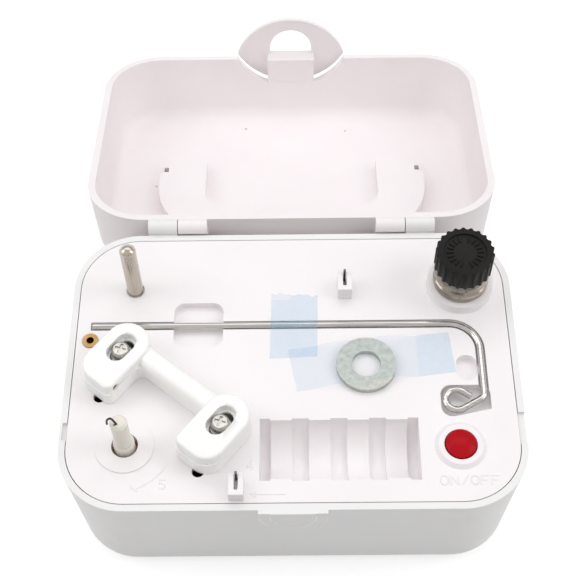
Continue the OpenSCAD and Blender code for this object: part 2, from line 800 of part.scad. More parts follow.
module deck_plate() {
    color("white") difference() {
        deck_solids();
        at_deck(spindle_at, 0) cylinder(r = hole_r, h = rim_z + 2);
        at_deck(pin_at, 0) cylinder(r = pin_shank_d / 2 + seat_gap, h = rim_z + 1);
        at_deck(pin_at, rim_z - pin_sunk) cylinder(r = pin_d / 2 + pin_ring, h = pin_sunk + 1);
        at_deck(bush_at, 0) cylinder(r = bush_d / 2 + seat_gap, h = rim_z + 1);
        at_deck(knob_at, 0) cylinder(r = stud_d / 2 + seat_gap, h = rim_z + boss_h + 1);
        at_deck(button_at, 0) cylinder(r = button_hole_r, h = rim_z + 3);
        at_deck(button_at, 0) cylinder(r = switch_r + seat_gap, h = deck_low);
        rod_channel();
        recess_cut();
        deck_pocket(finger_at, finger_size, finger_r, finger_depth);
        deck_pocket(leg_pocket_at, leg_pocket_size, leg_pocket_r, finger_depth);
        eyelet_pocket();
        stop_slots();
        for (p = [rear_post_at, front_post_at])
            block_at(p, peg_size + 2 * [seat_gap, seat_gap], 0, rim_z + 1);
        for (p = deck_screw_at) at_deck(p, 0) cylinder(d = deck_screw_d + 2 * seat_gap, h = rim_z - 0.6);
    }
}

module deck_screws() {
    color("silver") for (p = deck_screw_at) {
        at_deck(p, deck_screw_sink) cylinder(d = deck_screw_d, h = rim_z - 1 - deck_screw_sink);
        at_deck(p, deck_screw_sink - deck_screw_head_h)
            cylinder(d = deck_screw_head_d, h = deck_screw_head_h);
    }
}

// Power

module battery_door() {
    x0 = battery_at[0] - box_w / 2 - door_lap + 0.15;
    x1 = half_w - base_lean - base_edge_r - 0.2;
    d = box_d + 2 * door_lap - 0.3;
    y = battery_at[1];
    color("whitesmoke") {
        translate([x0, y - d / 2, door_low]) cube([x1 - x0, d, door_t]);
        translate([x0, y - d / 2 - door_tongue, door_low + door_t / 2 + 0.1])
            cube([x1 - x0, d + 2 * door_tongue, door_t / 2 - 0.1]);
    }
}

module battery_cells() {
    color("darkgoldenrod") for (s = [-1, 1])
        translate([battery_at[0], battery_at[1] + s * cell_step / 2, cell_z]) rotate([0, 90 * s, 0]) {
            translate([0, 0, -cell_l / 2]) cylinder(d = cell_d, h = cell_l - cell_tip_l);
            translate([0, 0, cell_l / 2 - cell_tip_l - 0.1]) cylinder(d = cell_tip_d, h = cell_tip_l + 0.1);
        }
}

module battery_contacts() {
    plate = [contact_t, contact_w, contact_h];
    room = (box_w - cell_l) / 2 - contact_t;
    color("silver") for (s = [-1, 1], e = [-1, 1])
        translate([battery_at[0] + e * (box_w - contact_t) / 2, battery_at[1] + s * cell_step / 2, cell_z]) {
            cube(plate, center = true);
            rotate([0, -90 * e, 0]) cylinder(r1 = e * s > 0 ? contact_tip_r : contact_coil_r,
                r2 = contact_tip_r, h = room + contact_t / 2 - 0.1);
        }
}

module inlet_place() {
    translate([half_w - base_lean - inlet_in, inlet_y, inlet_z]) rotate([0, 90, 0]) children();
}

module power_inlet() {
    low = inlet_l - inlet_bore;
    color("black") inlet_place() {
        difference() {
            cylinder(d = inlet_d, h = inlet_l);
            translate([0, 0, low]) cylinder(d = 0.7 * inlet_d, h = inlet_bore + 1);
        }
        translate([0, 0, low - 1]) cylinder(d = inlet_d / 4, h = inlet_bore - 0.5);
        translate([0, 0, -1]) cylinder(d = 1.25 * inlet_d, h = inlet_d);
    }
}

module power_switch() {
    color("dimgray") difference() {
        union() {
            at_deck(button_at, switch_low) cylinder(r = switch_r, h = switch_h);
            for (s = [-1, 1])
                block_at(button_at + [s * 2.5, 0], [0.8, 2], switch_low - switch_leg_l, switch_top - 1);
        }
        at_deck(button_at, switch_top - plunger_depth)
            cylinder(r = button_stem_r + move_gap, h = plunger_depth + 1);
    }
}

module power_button() {
    dome = 1.3;
    dome_r = button_d / 2;
    cap_top = rim_z + bezel_h + 0.5;
    ball_r = (dome_r * dome_r + dome * dome) / (2 * dome);
    color("firebrick") {
        at_deck(button_at, deck_low - 0.2) cylinder(r = dome_r, h = cap_top - deck_low + 0.2);
        intersection() {
            at_deck(button_at, cap_top + dome - ball_r) sphere(ball_r);
            at_deck(button_at, cap_top - 0.2) cylinder(r = dome_r, h = dome + 1);
        }
        at_deck(button_at, deck_low - button_flange_t) cylinder(r = button_flange_r, h = button_flange_t);
        at_deck(button_at, switch_top - 3) cylinder(r = button_stem_r, h = deck_low - switch_top + 3);
    }
}

module button_spring() {
    color("silver") at_deck(button_at, switch_top) difference() {
        cylinder(r = button_stem_r + 1.6, h = deck_low - button_flange_t - switch_top);
        translate([0, 0, -1]) cylinder(r = button_stem_r + 0.8, h = 20);
    }
}

// Drive

module drive_motor() {
    flats = 0.76 * motor_d;
    color("lightsteelblue") difference() {
        at_deck(motor_at, floor_t) intersection() {
            cylinder(d = motor_d, h = motor_h);
            translate([-motor_d, -flats / 2, 0]) cube([2 * motor_d, flats, motor_h]);
        }
        at_deck(motor_at, shaft_foot) cylinder(r = motor_shaft_d / 2 + run_gap, h = motor_h);
    }
}

module motor_shaft() {
    top = belt_z + pulley_h / 2 + 1;
    color("silver") at_deck(motor_at, shaft_foot) cylinder(d = motor_shaft_d, h = top - shaft_foot);
}

// Grooved pulley with the belt's bed cut into its edge
module grooved(r, bore) {
    groove = belt_d / 2 + move_gap;
    difference() {
        cylinder(r = r + pulley_flange, h = pulley_h, center = true);
        rotate_extrude() translate([r, 0]) {
            circle(groove);
            translate([0, -groove]) square([r, 2 * groove]);
        }
        cylinder(r = bore, h = pulley_h + 1, center = true);
    }
}

module motor_pulley() {
    color("white") at_deck(motor_at, belt_z) grooved(pinion_r, motor_shaft_d / 2 + seat_gap);
}

module spindle_pulley() {
    color("white") at_deck(spindle_at, belt_z) grooved(pulley_r, shaft_d / 2 + seat_gap);
}

module drive_belt() {
    a = belt_tilt;
    color("black") translate([spindle_at[0], spindle_at[1], belt_z]) rotate([0, 0, belt_dir]) {
        wire_arc([0, 0, 0], pulley_r, a, 360 - 2 * a, belt_d / 2);
        wire_arc([belt_span, 0, 0], pinion_r, -a, 2 * a, belt_d / 2);
        for (s = [-1, 1])
            wire_run([pulley_r * cos(a), s * pulley_r * sin(a), 0],
                [belt_span + pinion_r * cos(a), s * pinion_r * sin(a), 0], belt_d / 2);
    }
}

module spindle_shaft() {
    color("silver") at_deck(spindle_at, shaft_low) cylinder(d = shaft_d, h = shaft_top - shaft_low);
}

module spindle_bearing() {
    color("goldenrod") at_deck(spindle_at, bearing_low) difference() {
        cylinder(r = bearing_r, h = bearing_l);
        translate([0, 0, -1]) cylinder(r = shaft_d / 2 + run_gap, h = bearing_l + 2);
    }
}

module bobbin_spindle() {
    r = spindle_d / 2;
    foot = spindle_foot_d / 2;
    top = rim_z + spindle_top;
    shoulder = rim_z + spindle_foot_top;
    color("ivory") difference() {
        turned(spindle_at, 0, [[0, spindle_low], [foot, spindle_low], [foot, shoulder - 0.4],
            [foot - 0.4, shoulder], [r, shoulder], [r, top - 0.8], [r - 0.8, top], [0, top]]);
        at_deck(spindle_at, 0) cylinder(r = shaft_d / 2 + seat_gap, h = rim_z + 10);
        at_deck(spindle_at - [wire_in, wire_ahead], top - 6) cylinder(r = wire_r + seat_gap, h = 8);
    }
}

// Bent wire that catches the thread end, from the spindle's top out to its left
wire_r = 0.35;
wire_in = 1;
wire_ahead = 1;
wire_out = spindle_d / 2 + 1.5;
wire_rise = 0.9;
wire_drop = 1.5;

module spindle_wire() {
    top = rim_z + spindle_top;
    arch = (wire_out - wire_in) / 2;
    color("gray") translate([spindle_at[0], spindle_at[1] - wire_ahead, 0]) {
        translate([-wire_in, 0, top - 6]) cylinder(r = wire_r, h = 6 + wire_rise);
        translate([-wire_in - arch, 0, top + wire_rise]) rotate([90, 0, 0])
            rotate_extrude(angle = 180) translate([arch, 0]) circle(wire_r);
        translate([-wire_out, 0, top - wire_drop]) cylinder(r = wire_r, h = wire_drop + wire_rise);
    }
}

// Stop arm

module stop_carriage() {
    bridge_low = bridge_top - bridge_t;
    reach = block_mid + stem_w / 2;
    color("white") in_arm_frame() {
        difference() {
            union() for (s = [-1, 1]) translate([s * block_mid, 0, 0]) {
                translate([0, post_mid, arm_low]) slab(post_size[0], post_size[1], 2, post_foot_h - slide_gap);
                translate([0, 0, arm_low]) cylinder(r = post_boss_r, h = post_h - slide_gap);
                translate([stem_shift, stem_mid, bridge_low])
                    linear_extrude(rim_z + 1 - bridge_low) oblong(stem_l, stem_w);
            }
            for (s = [-1, 1]) translate([s * block_mid, 0, rim_z + 1])
                cylinder(r = arm_screw_d / 2 + seat_gap, h = post_h);
        }
        translate([stem_shift - reach, bridge_y[0], bridge_low])
            cube([2 * reach, bridge_y[1] - bridge_y[0], bridge_t]);
    }
}

// Outline of one block, with its outer side towards +X
module block_outline() {
    half = block_w / 2;
    flat = half - block_end_r;
    for (s = [-1, 1]) translate([s * flat, block_out - block_end_r]) circle(block_end_r);
    translate([-flat, 0]) square([2 * flat, block_out]);
    translate([-half, block_outer_r - block_in])
        square([block_w, block_in + block_out - block_outer_r - block_end_r]);
    translate([half - block_outer_r, block_outer_r - block_in]) circle(block_outer_r);
    translate([block_inner_r - half, block_inner_r - block_in]) circle(block_inner_r);
    translate([block_inner_r - half, -block_in])
        square([block_w - block_inner_r - block_outer_r, block_outer_r + 1]);
    translate([-half, block_inner_r - block_in]) square([block_inner_r + 1, block_outer_r]);
}

module each_block() {
    for (s = [0, 1]) mirror([s, 0, 0]) translate([block_mid, 0, 0]) children();
}

module bar_section() {
    h = bar_h - slide_gap;
    square([bar_w, h - bar_r]);
    translate([bar_r, 0]) square([bar_w - 2 * bar_r, h]);
    for (x = [bar_r, bar_w - bar_r]) translate([x, h - bar_r]) circle(bar_r);
}

// Filling of the corner between a block's inner side and the bar's near side
module corner_fill(r) {
    difference() {
        translate([-r, -r]) square([r + 0.2, r + 0.2]);
        translate([-r, -r]) circle(r);
    }
}

module arm_solids() {
    half = block_mid - block_w / 2;
    each_block() {
        translate([0, 0, arm_low]) linear_extrude(arm_top - arm_low) block_outline();
        translate([0, 0, arm_low]) linear_extrude(band_h - slide_gap) intersection() {
            translate([0, -band_out]) block_outline();
            translate([-block_w, -2 * block_in]) square([2 * block_w, 2 * block_in + band_from]);
        }
    }
    translate([-half - bar_lap, bar_in, arm_low]) rotate([90, 0, 90])
        linear_extrude(2 * (half + bar_lap)) bar_section();
    for (s = [0, 1]) mirror([s, 0, 0]) translate([half, bar_in, arm_low])
        linear_extrude(bar_h - bar_r - slide_gap) corner_fill(bar_fillet);
}

module arm_hollow() {
    w = post_size[0] + 2 * arm_side_gap;
    y0 = post_mid - post_size[1] / 2 - adjust_out - arm_end_gap;
    y1 = post_mid + post_size[1] / 2 + adjust_in + arm_end_gap;
    translate([0, (y0 + y1) / 2, rim_z - 1]) slab(w, y1 - y0, 3, post_h + 1);
}

module stop_arm() {
    color("white") in_arm_frame() difference() {
        arm_solids();
        each_block() {
            arm_hollow();
            translate([0, adjust_mid, sink_floor]) linear_extrude(sink_depth + 1)
                oblong(sink_w + adjust_span, sink_w);
            translate([0, adjust_mid, rim_z]) linear_extrude(block_h)
                oblong(sink_w - 2 * sink_ledge + adjust_span, sink_w - 2 * sink_ledge);
        }
        translate([block_w / 2 - block_mid - arm_peep_l, arm_peep_back - block_in, rim_z + arm_peep_up])
            rotate([0, 90, 0]) cylinder(r = arm_peep_r, h = arm_peep_l + 1);
    }
}

module stop_washers() {
    color("lightgray") in_arm_frame() for (s = [-1, 1])
        translate([s * block_mid, 0, sink_floor]) difference() {
            cylinder(r = screw_washer_r, h = screw_washer_t);
            translate([0, 0, -1]) cylinder(r = arm_screw_d / 2 + seat_gap, h = 3);
        }
}

module stop_screws() {
    head_low = sink_floor + screw_washer_t;
    cross = [0.9, 3.6, 1];
    color("silver") in_arm_frame() for (s = [-1, 1]) translate([s * block_mid, 0, 0]) {
        translate([0, 0, rim_z + 1.5]) cylinder(d = arm_screw_d, h = head_low - rim_z - 1.5);
        difference() {
            translate([0, 0, head_low]) rotate_extrude() polygon([[0, 0], [screw_head_r, 0],
                [screw_head_r, screw_head_h - 0.7], [screw_head_r - 0.7, screw_head_h], [0, screw_head_h]]);
            for (a = [20, 110]) translate([0, 0, head_low + screw_head_h]) rotate([0, 0, a])
                cube(cross, center = true);
        }
    }
}

module stop_switch() {
    lever_w = stop_switch_size[0] - 4;
    lever_low = stop_switch_top - stop_switch_size[2] / 2;
    front = stop_switch_mid - stop_switch_size[1] / 2;
    color("darkslategray") in_arm_frame() {
        translate([0, stop_switch_mid, stop_switch_top - stop_switch_size[2] / 2])
            cube(stop_switch_size, center = true);
        translate([-lever_w / 2, front - lever_t + 0.1, lever_low])
            cube([lever_w, lever_t, bridge_top - lever_low]);
    }
}

// Thread path

module spool_pin() {
    r = pin_d / 2;
    shank = pin_shank_d / 2;
    top = rim_z + pin_top;
    cap = 1.6;
    ease = 0.15;
    ball_r = (r * r + cap * cap) / (2 * cap);
    color("silver") {
        turned(pin_at, rim_z - pin_sunk, [[0, -1], [shank, -1], [shank, pin_sunk + ease],
            [r, pin_sunk + ease], [r, pin_top + pin_sunk - cap], [0, pin_top + pin_sunk - cap]]);
        intersection() {
            at_deck(pin_at, top - ball_r) sphere(ball_r);
            at_deck(pin_at, top - cap - 0.2) cylinder(r = r, h = cap + 1);
        }
        at_deck(pin_at, deck_low - pin_rivet_h) cylinder(r = shank, h = deck_t + pin_rivet_h - pin_sunk);
        at_deck(pin_at, deck_low - pin_rivet_h) cylinder(r = shank + 1.6, h = pin_rivet_h);
    }
}

module guide_rod() {
    bend_x = leg_x - rod_bend_r;
    z = rod_z;
    color("silver") {
        wire_run([rod_x0, rod_y, z], [bend_x, rod_y, z], rod_r);
        wire_arc([bend_x, rod_y - rod_bend_r, z], rod_bend_r, 0, 90, rod_r);
        wire_run([leg_x, leg_y, z], [leg_x, rod_y - rod_bend_r, z], rod_r);
        wire_arc([leg_x - hook_r, leg_y, z], hook_r, -hook_turn, hook_turn, rod_r);
        wire_run([eyelet_in[0], eyelet_in[1], z], [hook_end[0], hook_end[1], z], rod_r);
        wire_arc([eyelet_at[0], eyelet_at[1], z], eyelet_r, tail_from, eyelet_sweep, rod_r);
        wire_run([tail_in[0], tail_in[1], z], [tail_end[0], tail_end[1], z], rod_r);
    }
}

module rod_socket() {
    lip = 0.4;
    color("goldenrod") at_deck(bush_at, rim_z + lip - bush_l) difference() {
        cylinder(d = bush_d, h = bush_l);
        translate([0, 0, 1]) cylinder(r = rod_r + 0.1, h = bush_l);
    }
}

module tension_stud() {
    color("silver") {
        at_deck(knob_at, deck_low - 2) cylinder(d = stud_d, h = stud_top - deck_low + 2);
        at_deck(knob_at, deck_low - nut_h) cylinder(d = nut_d, h = nut_h, $fn = 6);
    }
}

module lower_tension_disc() {
    r = disc_d / 2;
    t = lower_disc_t;
    bore = stud_d / 2 + seat_gap;
    color("lightgray") turned(knob_at, disc_low, [[bore, 0], [r - 0.5, 0], [r - 0.1, 0.4], [r, 0.9],
        [r, t - 1.3], [r - 0.3, t - 0.7], [r - disc_groove, t], [bore, t]]);
}

module upper_tension_disc() {
    r = disc_d / 2;
    t = upper_disc_t;
    bore = stud_d / 2 + seat_gap;
    color("lightgray") turned(knob_at, upper_disc_low, [[bore, 0], [r - disc_groove, 0], [r - 0.3, 0.7],
        [r, 1.3], [r, t - 1.8], [r - 0.2, t - 1], [r - 0.8, t - 0.3], [r - 1.6, t], [bore, t]]);
}

module tension_spring() {
    color("silver") at_deck(knob_at, disc_top) difference() {
        cylinder(r = spring_r, h = spring_l);
        translate([0, 0, -1]) cylinder(r = stud_d / 2 + 0.3, h = spring_l + 2);
    }
}

module tension_knob() {
    r = knob_d / 2;
    bite = 1.1;
    dish = 0.6;
    color("black") at_deck(knob_at, knob_low) difference() {
        cylinder(r = r, h = knob_h);
        for (i = [1 : knob_scallops]) rotate([0, 0, i * 360 / knob_scallops])
            translate([r + 0.45, 0, -1]) cylinder(r = bite, h = knob_h + 2, $fn = 24);
        translate([0, 0, -1]) cylinder(r = stud_d / 2 + run_gap, h = stud_top - knob_low + 1.3);
        translate([0, 0, -1]) cylinder(r = spring_r + move_gap, h = spring_l + 1);
        translate([0, 0, knob_h - dish]) cylinder(r = r - 2.6, h = 2);
    }
}

peg_size = [2.8, 3.6];
wire_d = 0.9;

// Guide post with its slit open towards one side
module guide_post(at, h, side) {
    color("white") at_deck(at, 0) difference() {
        union() {
            block_at([0, 0], [post_w, post_l], rim_z, rim_z + h);
            block_at([0, 0], peg_size, deck_low - 1, rim_z + 1);
        }
        translate([-slit_w / 2, side * 1.9 - post_l / 2, rim_z + 1.2]) cube([slit_w, post_l, h]);
    }
}

module rear_guide_post() {
    guide_post(rear_post_at, rear_post_h, 1);
}

module front_guide_post() {
    guide_post(front_post_at, front_post_h, 1);
}

module guide_wires() {
    color("gray") for (p = [[rear_post_at, rear_post_h], [front_post_at, front_post_h]])
        at_deck(p[0] + [0, post_l / 2 - 0.8], rim_z + 1.2) cylinder(d = wire_d, h = p[1] + 0.8);
}

module spool_washer() {
    color("darkgray") at_deck(washer_at, rim_z) difference() {
        cylinder(d = washer_d, h = washer_t);
        translate([0, 0, -1]) cylinder(d = washer_hole_d, h = washer_t + 2);
    }
}

// Lid

// Outline with straight sides in front and round sides behind
module bow(out, front) {
    r = out - bow_x;
    translate([-out, front]) square([2 * out, bow_y - front]);
    intersection() {
        union() {
            for (s = [-1, 1]) translate([s * bow_x, bow_y]) circle(r);
            translate([-bow_x, bow_y - r]) square([2 * bow_x, 2 * r]);
        }
        translate([-out, bow_y - 2]) square([2 * out, r + 3]);
    }
}

// Opening between the arms, rounded where they meet the cross band
module between_arms(half, front, back, r) {
    translate([-half, front]) square([2 * half, back - r - front]);
    translate([r - half, front]) square([2 * (half - r), back - front]);
    for (s = [-1, 1]) translate([s * (half - r), back - r]) circle(r);
}

// Outline of the handle's recess, or of the bulge that lies a wall further out
module recess_outline(grow) {
    out = recess_out + grow;
    inner = bulge_in + bulge_wall - grow;
    front = bulge_y + bulge_wall - grow;
    lug = lug_y + bulge_wall - grow;
    corner = lug_r - bulge_wall + grow;
    difference() {
        bow(out, lug);
        for (s = [0, 1]) mirror([s, 0]) translate([out - corner, lug + corner]) difference() {
            translate([0, -corner - 1]) square(corner + 1);
            circle(corner);
        }
        between_arms(inner, front - 1, band_y + bulge_wall - grow, bulge_fillet + bulge_wall - grow);
    }
    for (s = [0, 1]) mirror([s, 0]) translate([inner, front])
        square([out - lug_step - inner, lug + 1 - front]);
}

module latch_lens() {
    low_r = (latch_half_w * latch_half_w + latch_drop * latch_drop) / (2 * latch_drop);
    high_r = (latch_half_w * latch_half_w + latch_rise * latch_rise) / (2 * latch_rise);
    intersection() {
        translate([0, low_r - latch_drop]) circle(low_r);
        translate([0, latch_rise - high_r]) circle(high_r);
    }
}

module latch_window() {
    translate([-window_half_w, -2.5]) square([2 * window_half_w, 2.5]);
    intersection() {
        translate([0, -2.5]) circle(window_half_w);
        translate([-window_half_w, -latch_drop]) square([2 * window_half_w, latch_drop]);
    }
}

module on_front(y) {
    translate([0, y, rim_z]) rotate([90, 0, 0]) children();
}

module latch_tongue() {
    strip = window_half_w + 1.1;
    on_front(-half_d - latch_gap) linear_extrude(latch_t) difference() {
        latch_lens();
        latch_window();
    }
    root = lid_lean + lid_wall / 2;
    on_front(root - half_d) linear_extrude(latch_gap + latch_t / 2 + root)
        translate([-strip, 0]) square([2 * strip, latch_rise - 2.5]);
}

module side_cuts() {
    strip = window_half_w + 1.1;
    on_front(lid_lean + lid_wall + 1 - half_d) linear_extrude(lid_lean + lid_wall + 1.2) difference() {
        latch_lens();
        translate([-strip, -latch_drop]) square([2 * strip, latch_drop + latch_rise]);
    }
}

module lid_knuckles() {
    reach = hinge_back + 1;
    side = 0.7 * knuckle_r;
    web = [[-reach, 7], [-reach, 0.4 - hinge_up], [0.2 - knuckle_r, 0.4 - hinge_up], [0, 0], [side, side]];
    for (x = [knuckle_in, -knuckle_in - knuckle_len]) knuckle(x, web);
}

module on_pivot(length, r) {
    for (s = [-1, 1]) translate([s * (bulge_out - 0.2 - length / 2), pivot_y, pivot_z]) rotate([0, 90, 0])
        cylinder(r = r, h = length, center = true);
}

module lid_shell() {
    bulge_z = crown_z - recess_depth - bulge_wall;
    color("white") in_lid_frame() difference() {
        union() {
            difference() {
                translate([0, 0, crown_z]) mirror([0, 0, 1])
                    leaning_box(case_w, case_d, corner_r, lid_h, lid_lean, lid_edge_r);
                translate([0, 0, rim_z + lid_in_h]) mirror([0, 0, 1]) leaning_box(lid_in_w, lid_in_d,
                    corner_r - lid_wall, lid_in_h + through, lid_lean, lid_edge_r - 2);
                side_cuts();
            }
            translate([0, 0, bulge_z]) linear_extrude(crown_z - bulge_z - lid_top_t / 2)
                recess_outline(bulge_wall);
            latch_tongue();
            lid_knuckles();
        }
        translate([0, 0, crown_z - recess_depth]) linear_extrude(recess_depth + 1) recess_outline(0);
        for (s = [-1, 1])
            block_at([s * vent_at[0], vent_at[1]], vent_size, crown_z - lid_top_t - 1, crown_z + 1);
        hinge_bores(hinge_pin_d / 2 + run_gap);
        on_pivot(handle_pin_l + 0.4, handle_pin_d / 2 + seat_gap);
    }
}

module hinge_pins() {
    color("silver") for (s = [-1, 1]) translate([s * (knuckle_in + knuckle_len + 0.15), hinge_y, hinge_z])
        rotate([0, 90, 0]) cylinder(d = hinge_pin_d, h = 2 * knuckle_len, center = true);
}

module carry_handle() {
    low = pivot_z - handle_t / 2;
    inner = handle_out - handle_bar_w;
    color("white") in_lid_frame() difference() {
        union() {
            translate([0, 0, low]) linear_extrude(handle_t) difference() {
                bow(handle_out, pivot_y);
                bow(inner, pivot_y - 1);
            }
            for (s = [-1, 1]) translate([s * (inner + handle_bar_w / 2), pivot_y, pivot_z]) rotate([0, 90, 0])
                cylinder(r = handle_t / 2, h = handle_bar_w, center = true);
        }
        on_pivot(handle_pin_l + 0.4, handle_pin_d / 2 + run_gap);
    }
}

module handle_pins() {
    color("silver") in_lid_frame() on_pivot(handle_pin_l, handle_pin_d / 2);
}

base_tub();
deck_plate();
deck_screws();
battery_door();
battery_cells();
battery_contacts();
power_inlet();
drive_motor();
motor_shaft();
motor_pulley();
drive_belt();
spindle_pulley();
spindle_shaft();
spindle_bearing();
bobbin_spindle();
spindle_wire();
stop_carriage();
stop_arm();
stop_screws();
stop_washers();
stop_switch();
spool_pin();
guide_rod();
rod_socket();
tension_stud();
lower_tension_disc();
upper_tension_disc();
tension_spring();
tension_knob();
rear_guide_post();
front_guide_post();
guide_wires();
power_button();
button_spring();
power_switch();
spool_washer();
lid_shell();
hinge_pins();
carry_handle();
handle_pins();
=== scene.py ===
import math

import bmesh
import bpy
from mathutils import Matrix, Vector


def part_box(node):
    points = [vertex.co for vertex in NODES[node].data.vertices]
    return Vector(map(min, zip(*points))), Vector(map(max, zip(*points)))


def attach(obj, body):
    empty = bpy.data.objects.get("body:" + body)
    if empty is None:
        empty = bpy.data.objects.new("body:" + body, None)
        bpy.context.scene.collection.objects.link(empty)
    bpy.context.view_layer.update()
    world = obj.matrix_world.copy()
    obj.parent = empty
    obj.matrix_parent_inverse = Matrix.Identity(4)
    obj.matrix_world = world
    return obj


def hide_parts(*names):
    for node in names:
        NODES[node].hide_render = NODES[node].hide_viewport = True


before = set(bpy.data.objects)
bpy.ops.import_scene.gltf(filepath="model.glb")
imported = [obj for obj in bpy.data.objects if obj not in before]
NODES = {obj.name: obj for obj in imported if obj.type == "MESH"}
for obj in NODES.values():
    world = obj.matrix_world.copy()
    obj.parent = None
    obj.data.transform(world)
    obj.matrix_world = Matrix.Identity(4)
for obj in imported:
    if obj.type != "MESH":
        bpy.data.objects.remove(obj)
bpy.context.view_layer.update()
MM = 0.001
DECK_Z = 50.0
UP = Vector((0, 0, 1))


def linked(name, data):
    made = bpy.data.objects.new(name, data)
    bpy.context.scene.collection.objects.link(made)
    return made


def grey(level):
    return (level, level, level, 1)


# Camera in millimetres, fitted to the case's rim

CAMERA_AT = (2.073, -200.238, 408.184)
YAW, PITCH, ROLL = (math.radians(a) for a in (-0.839, 57.324, -1.249))
FOCAL_PX, IMAGE_PX, SENSOR = 1235.165, 576, 36.0
CLIP_START = 0.01


def make_camera():
    ahead = Vector((math.sin(YAW) * math.cos(PITCH), math.cos(YAW) * math.cos(PITCH), -math.sin(PITCH)))
    level = Vector((math.cos(YAW), -math.sin(YAW), 0))
    up = level.cross(ahead)
    across = math.cos(ROLL) * level + math.sin(ROLL) * up
    upright = math.cos(ROLL) * up - math.sin(ROLL) * level
    turn = Matrix((across, upright, -ahead)).transposed()
    data = bpy.data.cameras.new("camera")
    data.sensor_width = SENSOR
    data.lens = SENSOR * FOCAL_PX / IMAGE_PX
    data.clip_start = CLIP_START
    camera = linked("camera", data)
    camera.matrix_world = Matrix.Translation(Vector(CAMERA_AT) * MM) @ turn.to_4x4()
    bpy.context.scene.camera = camera


make_camera()

# Light, floor and backdrop, in metres: a lamp has its place, size and power, the sky its height and level

AIM = (0, 0.03, 0.04)
LAMPS = {
    "left": ((-0.95, 0.1, 0.80), (0.6, 0.7), 2.6),
    "right": ((0.95, 0.0, 0.80), (0.6, 0.7), 3.0),
    "top": ((0.0, 0.60, 1.1), (1.3, 0.5), 2.6),
}
HORIZON, CEILING = (0.04, 0.15), (0.62, 0.80)
BACKDROP_FADE = (0.22, 0.34)
FLOOR_R, FLOOR_DROP = 60.0, 0.0002
CARD, GLOW = 0.62, 0.56


def area_light(name, at, size, power):
    data = bpy.data.lights.new(name, "AREA")
    data.shape = "RECTANGLE"
    data.size, data.size_y = size
    data.energy = power
    lamp = linked(name, data)
    lamp.location = at
    lamp.rotation_mode = "QUATERNION"
    lamp.rotation_quaternion = (Vector(AIM) - Vector(at)).to_track_quat("-Z", "Y")


def calculated(tree, operation, first, second):
    made = tree.nodes.new("ShaderNodeMath")
    made.operation = operation
    tree.links.new(first, made.inputs[0])
    tree.links.new(second, made.inputs[1])
    return made.outputs[0]


def shown_directly(tree):
    """1 for rays that show a surface as it is: from the camera, in a reflection or through glass."""
    rays = tree.nodes.new("ShaderNodeLightPath").outputs
    seen = calculated(tree, "MAXIMUM", rays["Is Camera Ray"], rays["Is Glossy Ray"])
    return calculated(tree, "MAXIMUM", seen, rays["Is Transmission Ray"])


def make_world():
    """Studio light that brightens from the horizon to the ceiling, with a white backdrop on the horizon."""
    world = bpy.data.worlds.new("studio")
    bpy.context.scene.world = world
    world.use_nodes = True
    tree = world.node_tree
    tree.nodes.clear()
    coords = tree.nodes.new("ShaderNodeTexCoord")
    split = tree.nodes.new("ShaderNodeSeparateXYZ")
    tree.links.new(coords.outputs["Generated"], split.inputs[0])
    ramp = tree.nodes.new("ShaderNodeValToRGB")
    for element, (height, level) in zip(ramp.color_ramp.elements, (HORIZON, CEILING)):
        element.position = height
        element.color = grey(level)
    tree.links.new(split.outputs["Z"], ramp.inputs["Fac"])
    light = tree.nodes.new("ShaderNodeBackground")
    tree.links.new(ramp.outputs["Color"], light.inputs["Color"])
    white = tree.nodes.new("ShaderNodeBackground")
    white.inputs["Color"].default_value = grey(1)
    band = tree.nodes.new("ShaderNodeMapRange")
    for socket, value in zip(("From Min", "From Max", "To Min", "To Max"), (*BACKDROP_FADE, 1, 0)):
        band.inputs[socket].default_value = value
    tree.links.new(split.outputs["Z"], band.inputs["Value"])
    mix = tree.nodes.new("ShaderNodeMixShader")
    tree.links.new(calculated(tree, "MULTIPLY", shown_directly(tree), band.outputs[0]), mix.inputs[0])
    tree.links.new(light.outputs[0], mix.inputs[1])
    tree.links.new(white.outputs[0], mix.inputs[2])
    out = tree.nodes.new("ShaderNodeOutputWorld")
    tree.links.new(mix.outputs[0], out.inputs["Surface"])


def make_floor():
    mesh = bpy.data.meshes.new("floor")
    corners = [(x * FLOOR_R, y * FLOOR_R, 0) for x, y in ((-1, -1), (1, -1), (1, 1), (-1, 1))]
    mesh.from_pydata(corners, [], [(0, 1, 2, 3)])
    floor = linked("floor", mesh)
    floor.location.z = -FLOOR_DROP
    paint = bpy.data.materials.new("floor")
    paint.use_nodes = True
    tree = paint.node_tree
    tree.nodes.clear()
    card = tree.nodes.new("ShaderNodeBsdfDiffuse")
    card.inputs["Color"].default_value = grey(CARD)
    glow = tree.nodes.new("ShaderNodeEmission")
    glow.inputs["Color"].default_value = grey(1)
    level = tree.nodes.new("ShaderNodeMath")
    level.operation = "MULTIPLY"
    level.inputs[1].default_value = GLOW
    tree.links.new(shown_directly(tree), level.inputs[0])
    tree.links.new(level.outputs[0], glow.inputs["Strength"])
    add = tree.nodes.new("ShaderNodeAddShader")
    tree.links.new(card.outputs[0], add.inputs[0])
    tree.links.new(glow.outputs[0], add.inputs[1])
    out = tree.nodes.new("ShaderNodeOutputMaterial")
    tree.links.new(add.outputs[0], out.inputs["Surface"])
    mesh.materials.append(paint)


bpy.context.scene.view_settings.view_transform = "Standard"
make_world()
make_floor()
for name, (at, size, power) in LAMPS.items():
    area_light(name, at, size, power)

# Materials: scales are per metre, depths in millimetres

STOPS = (0.3, 0.7)


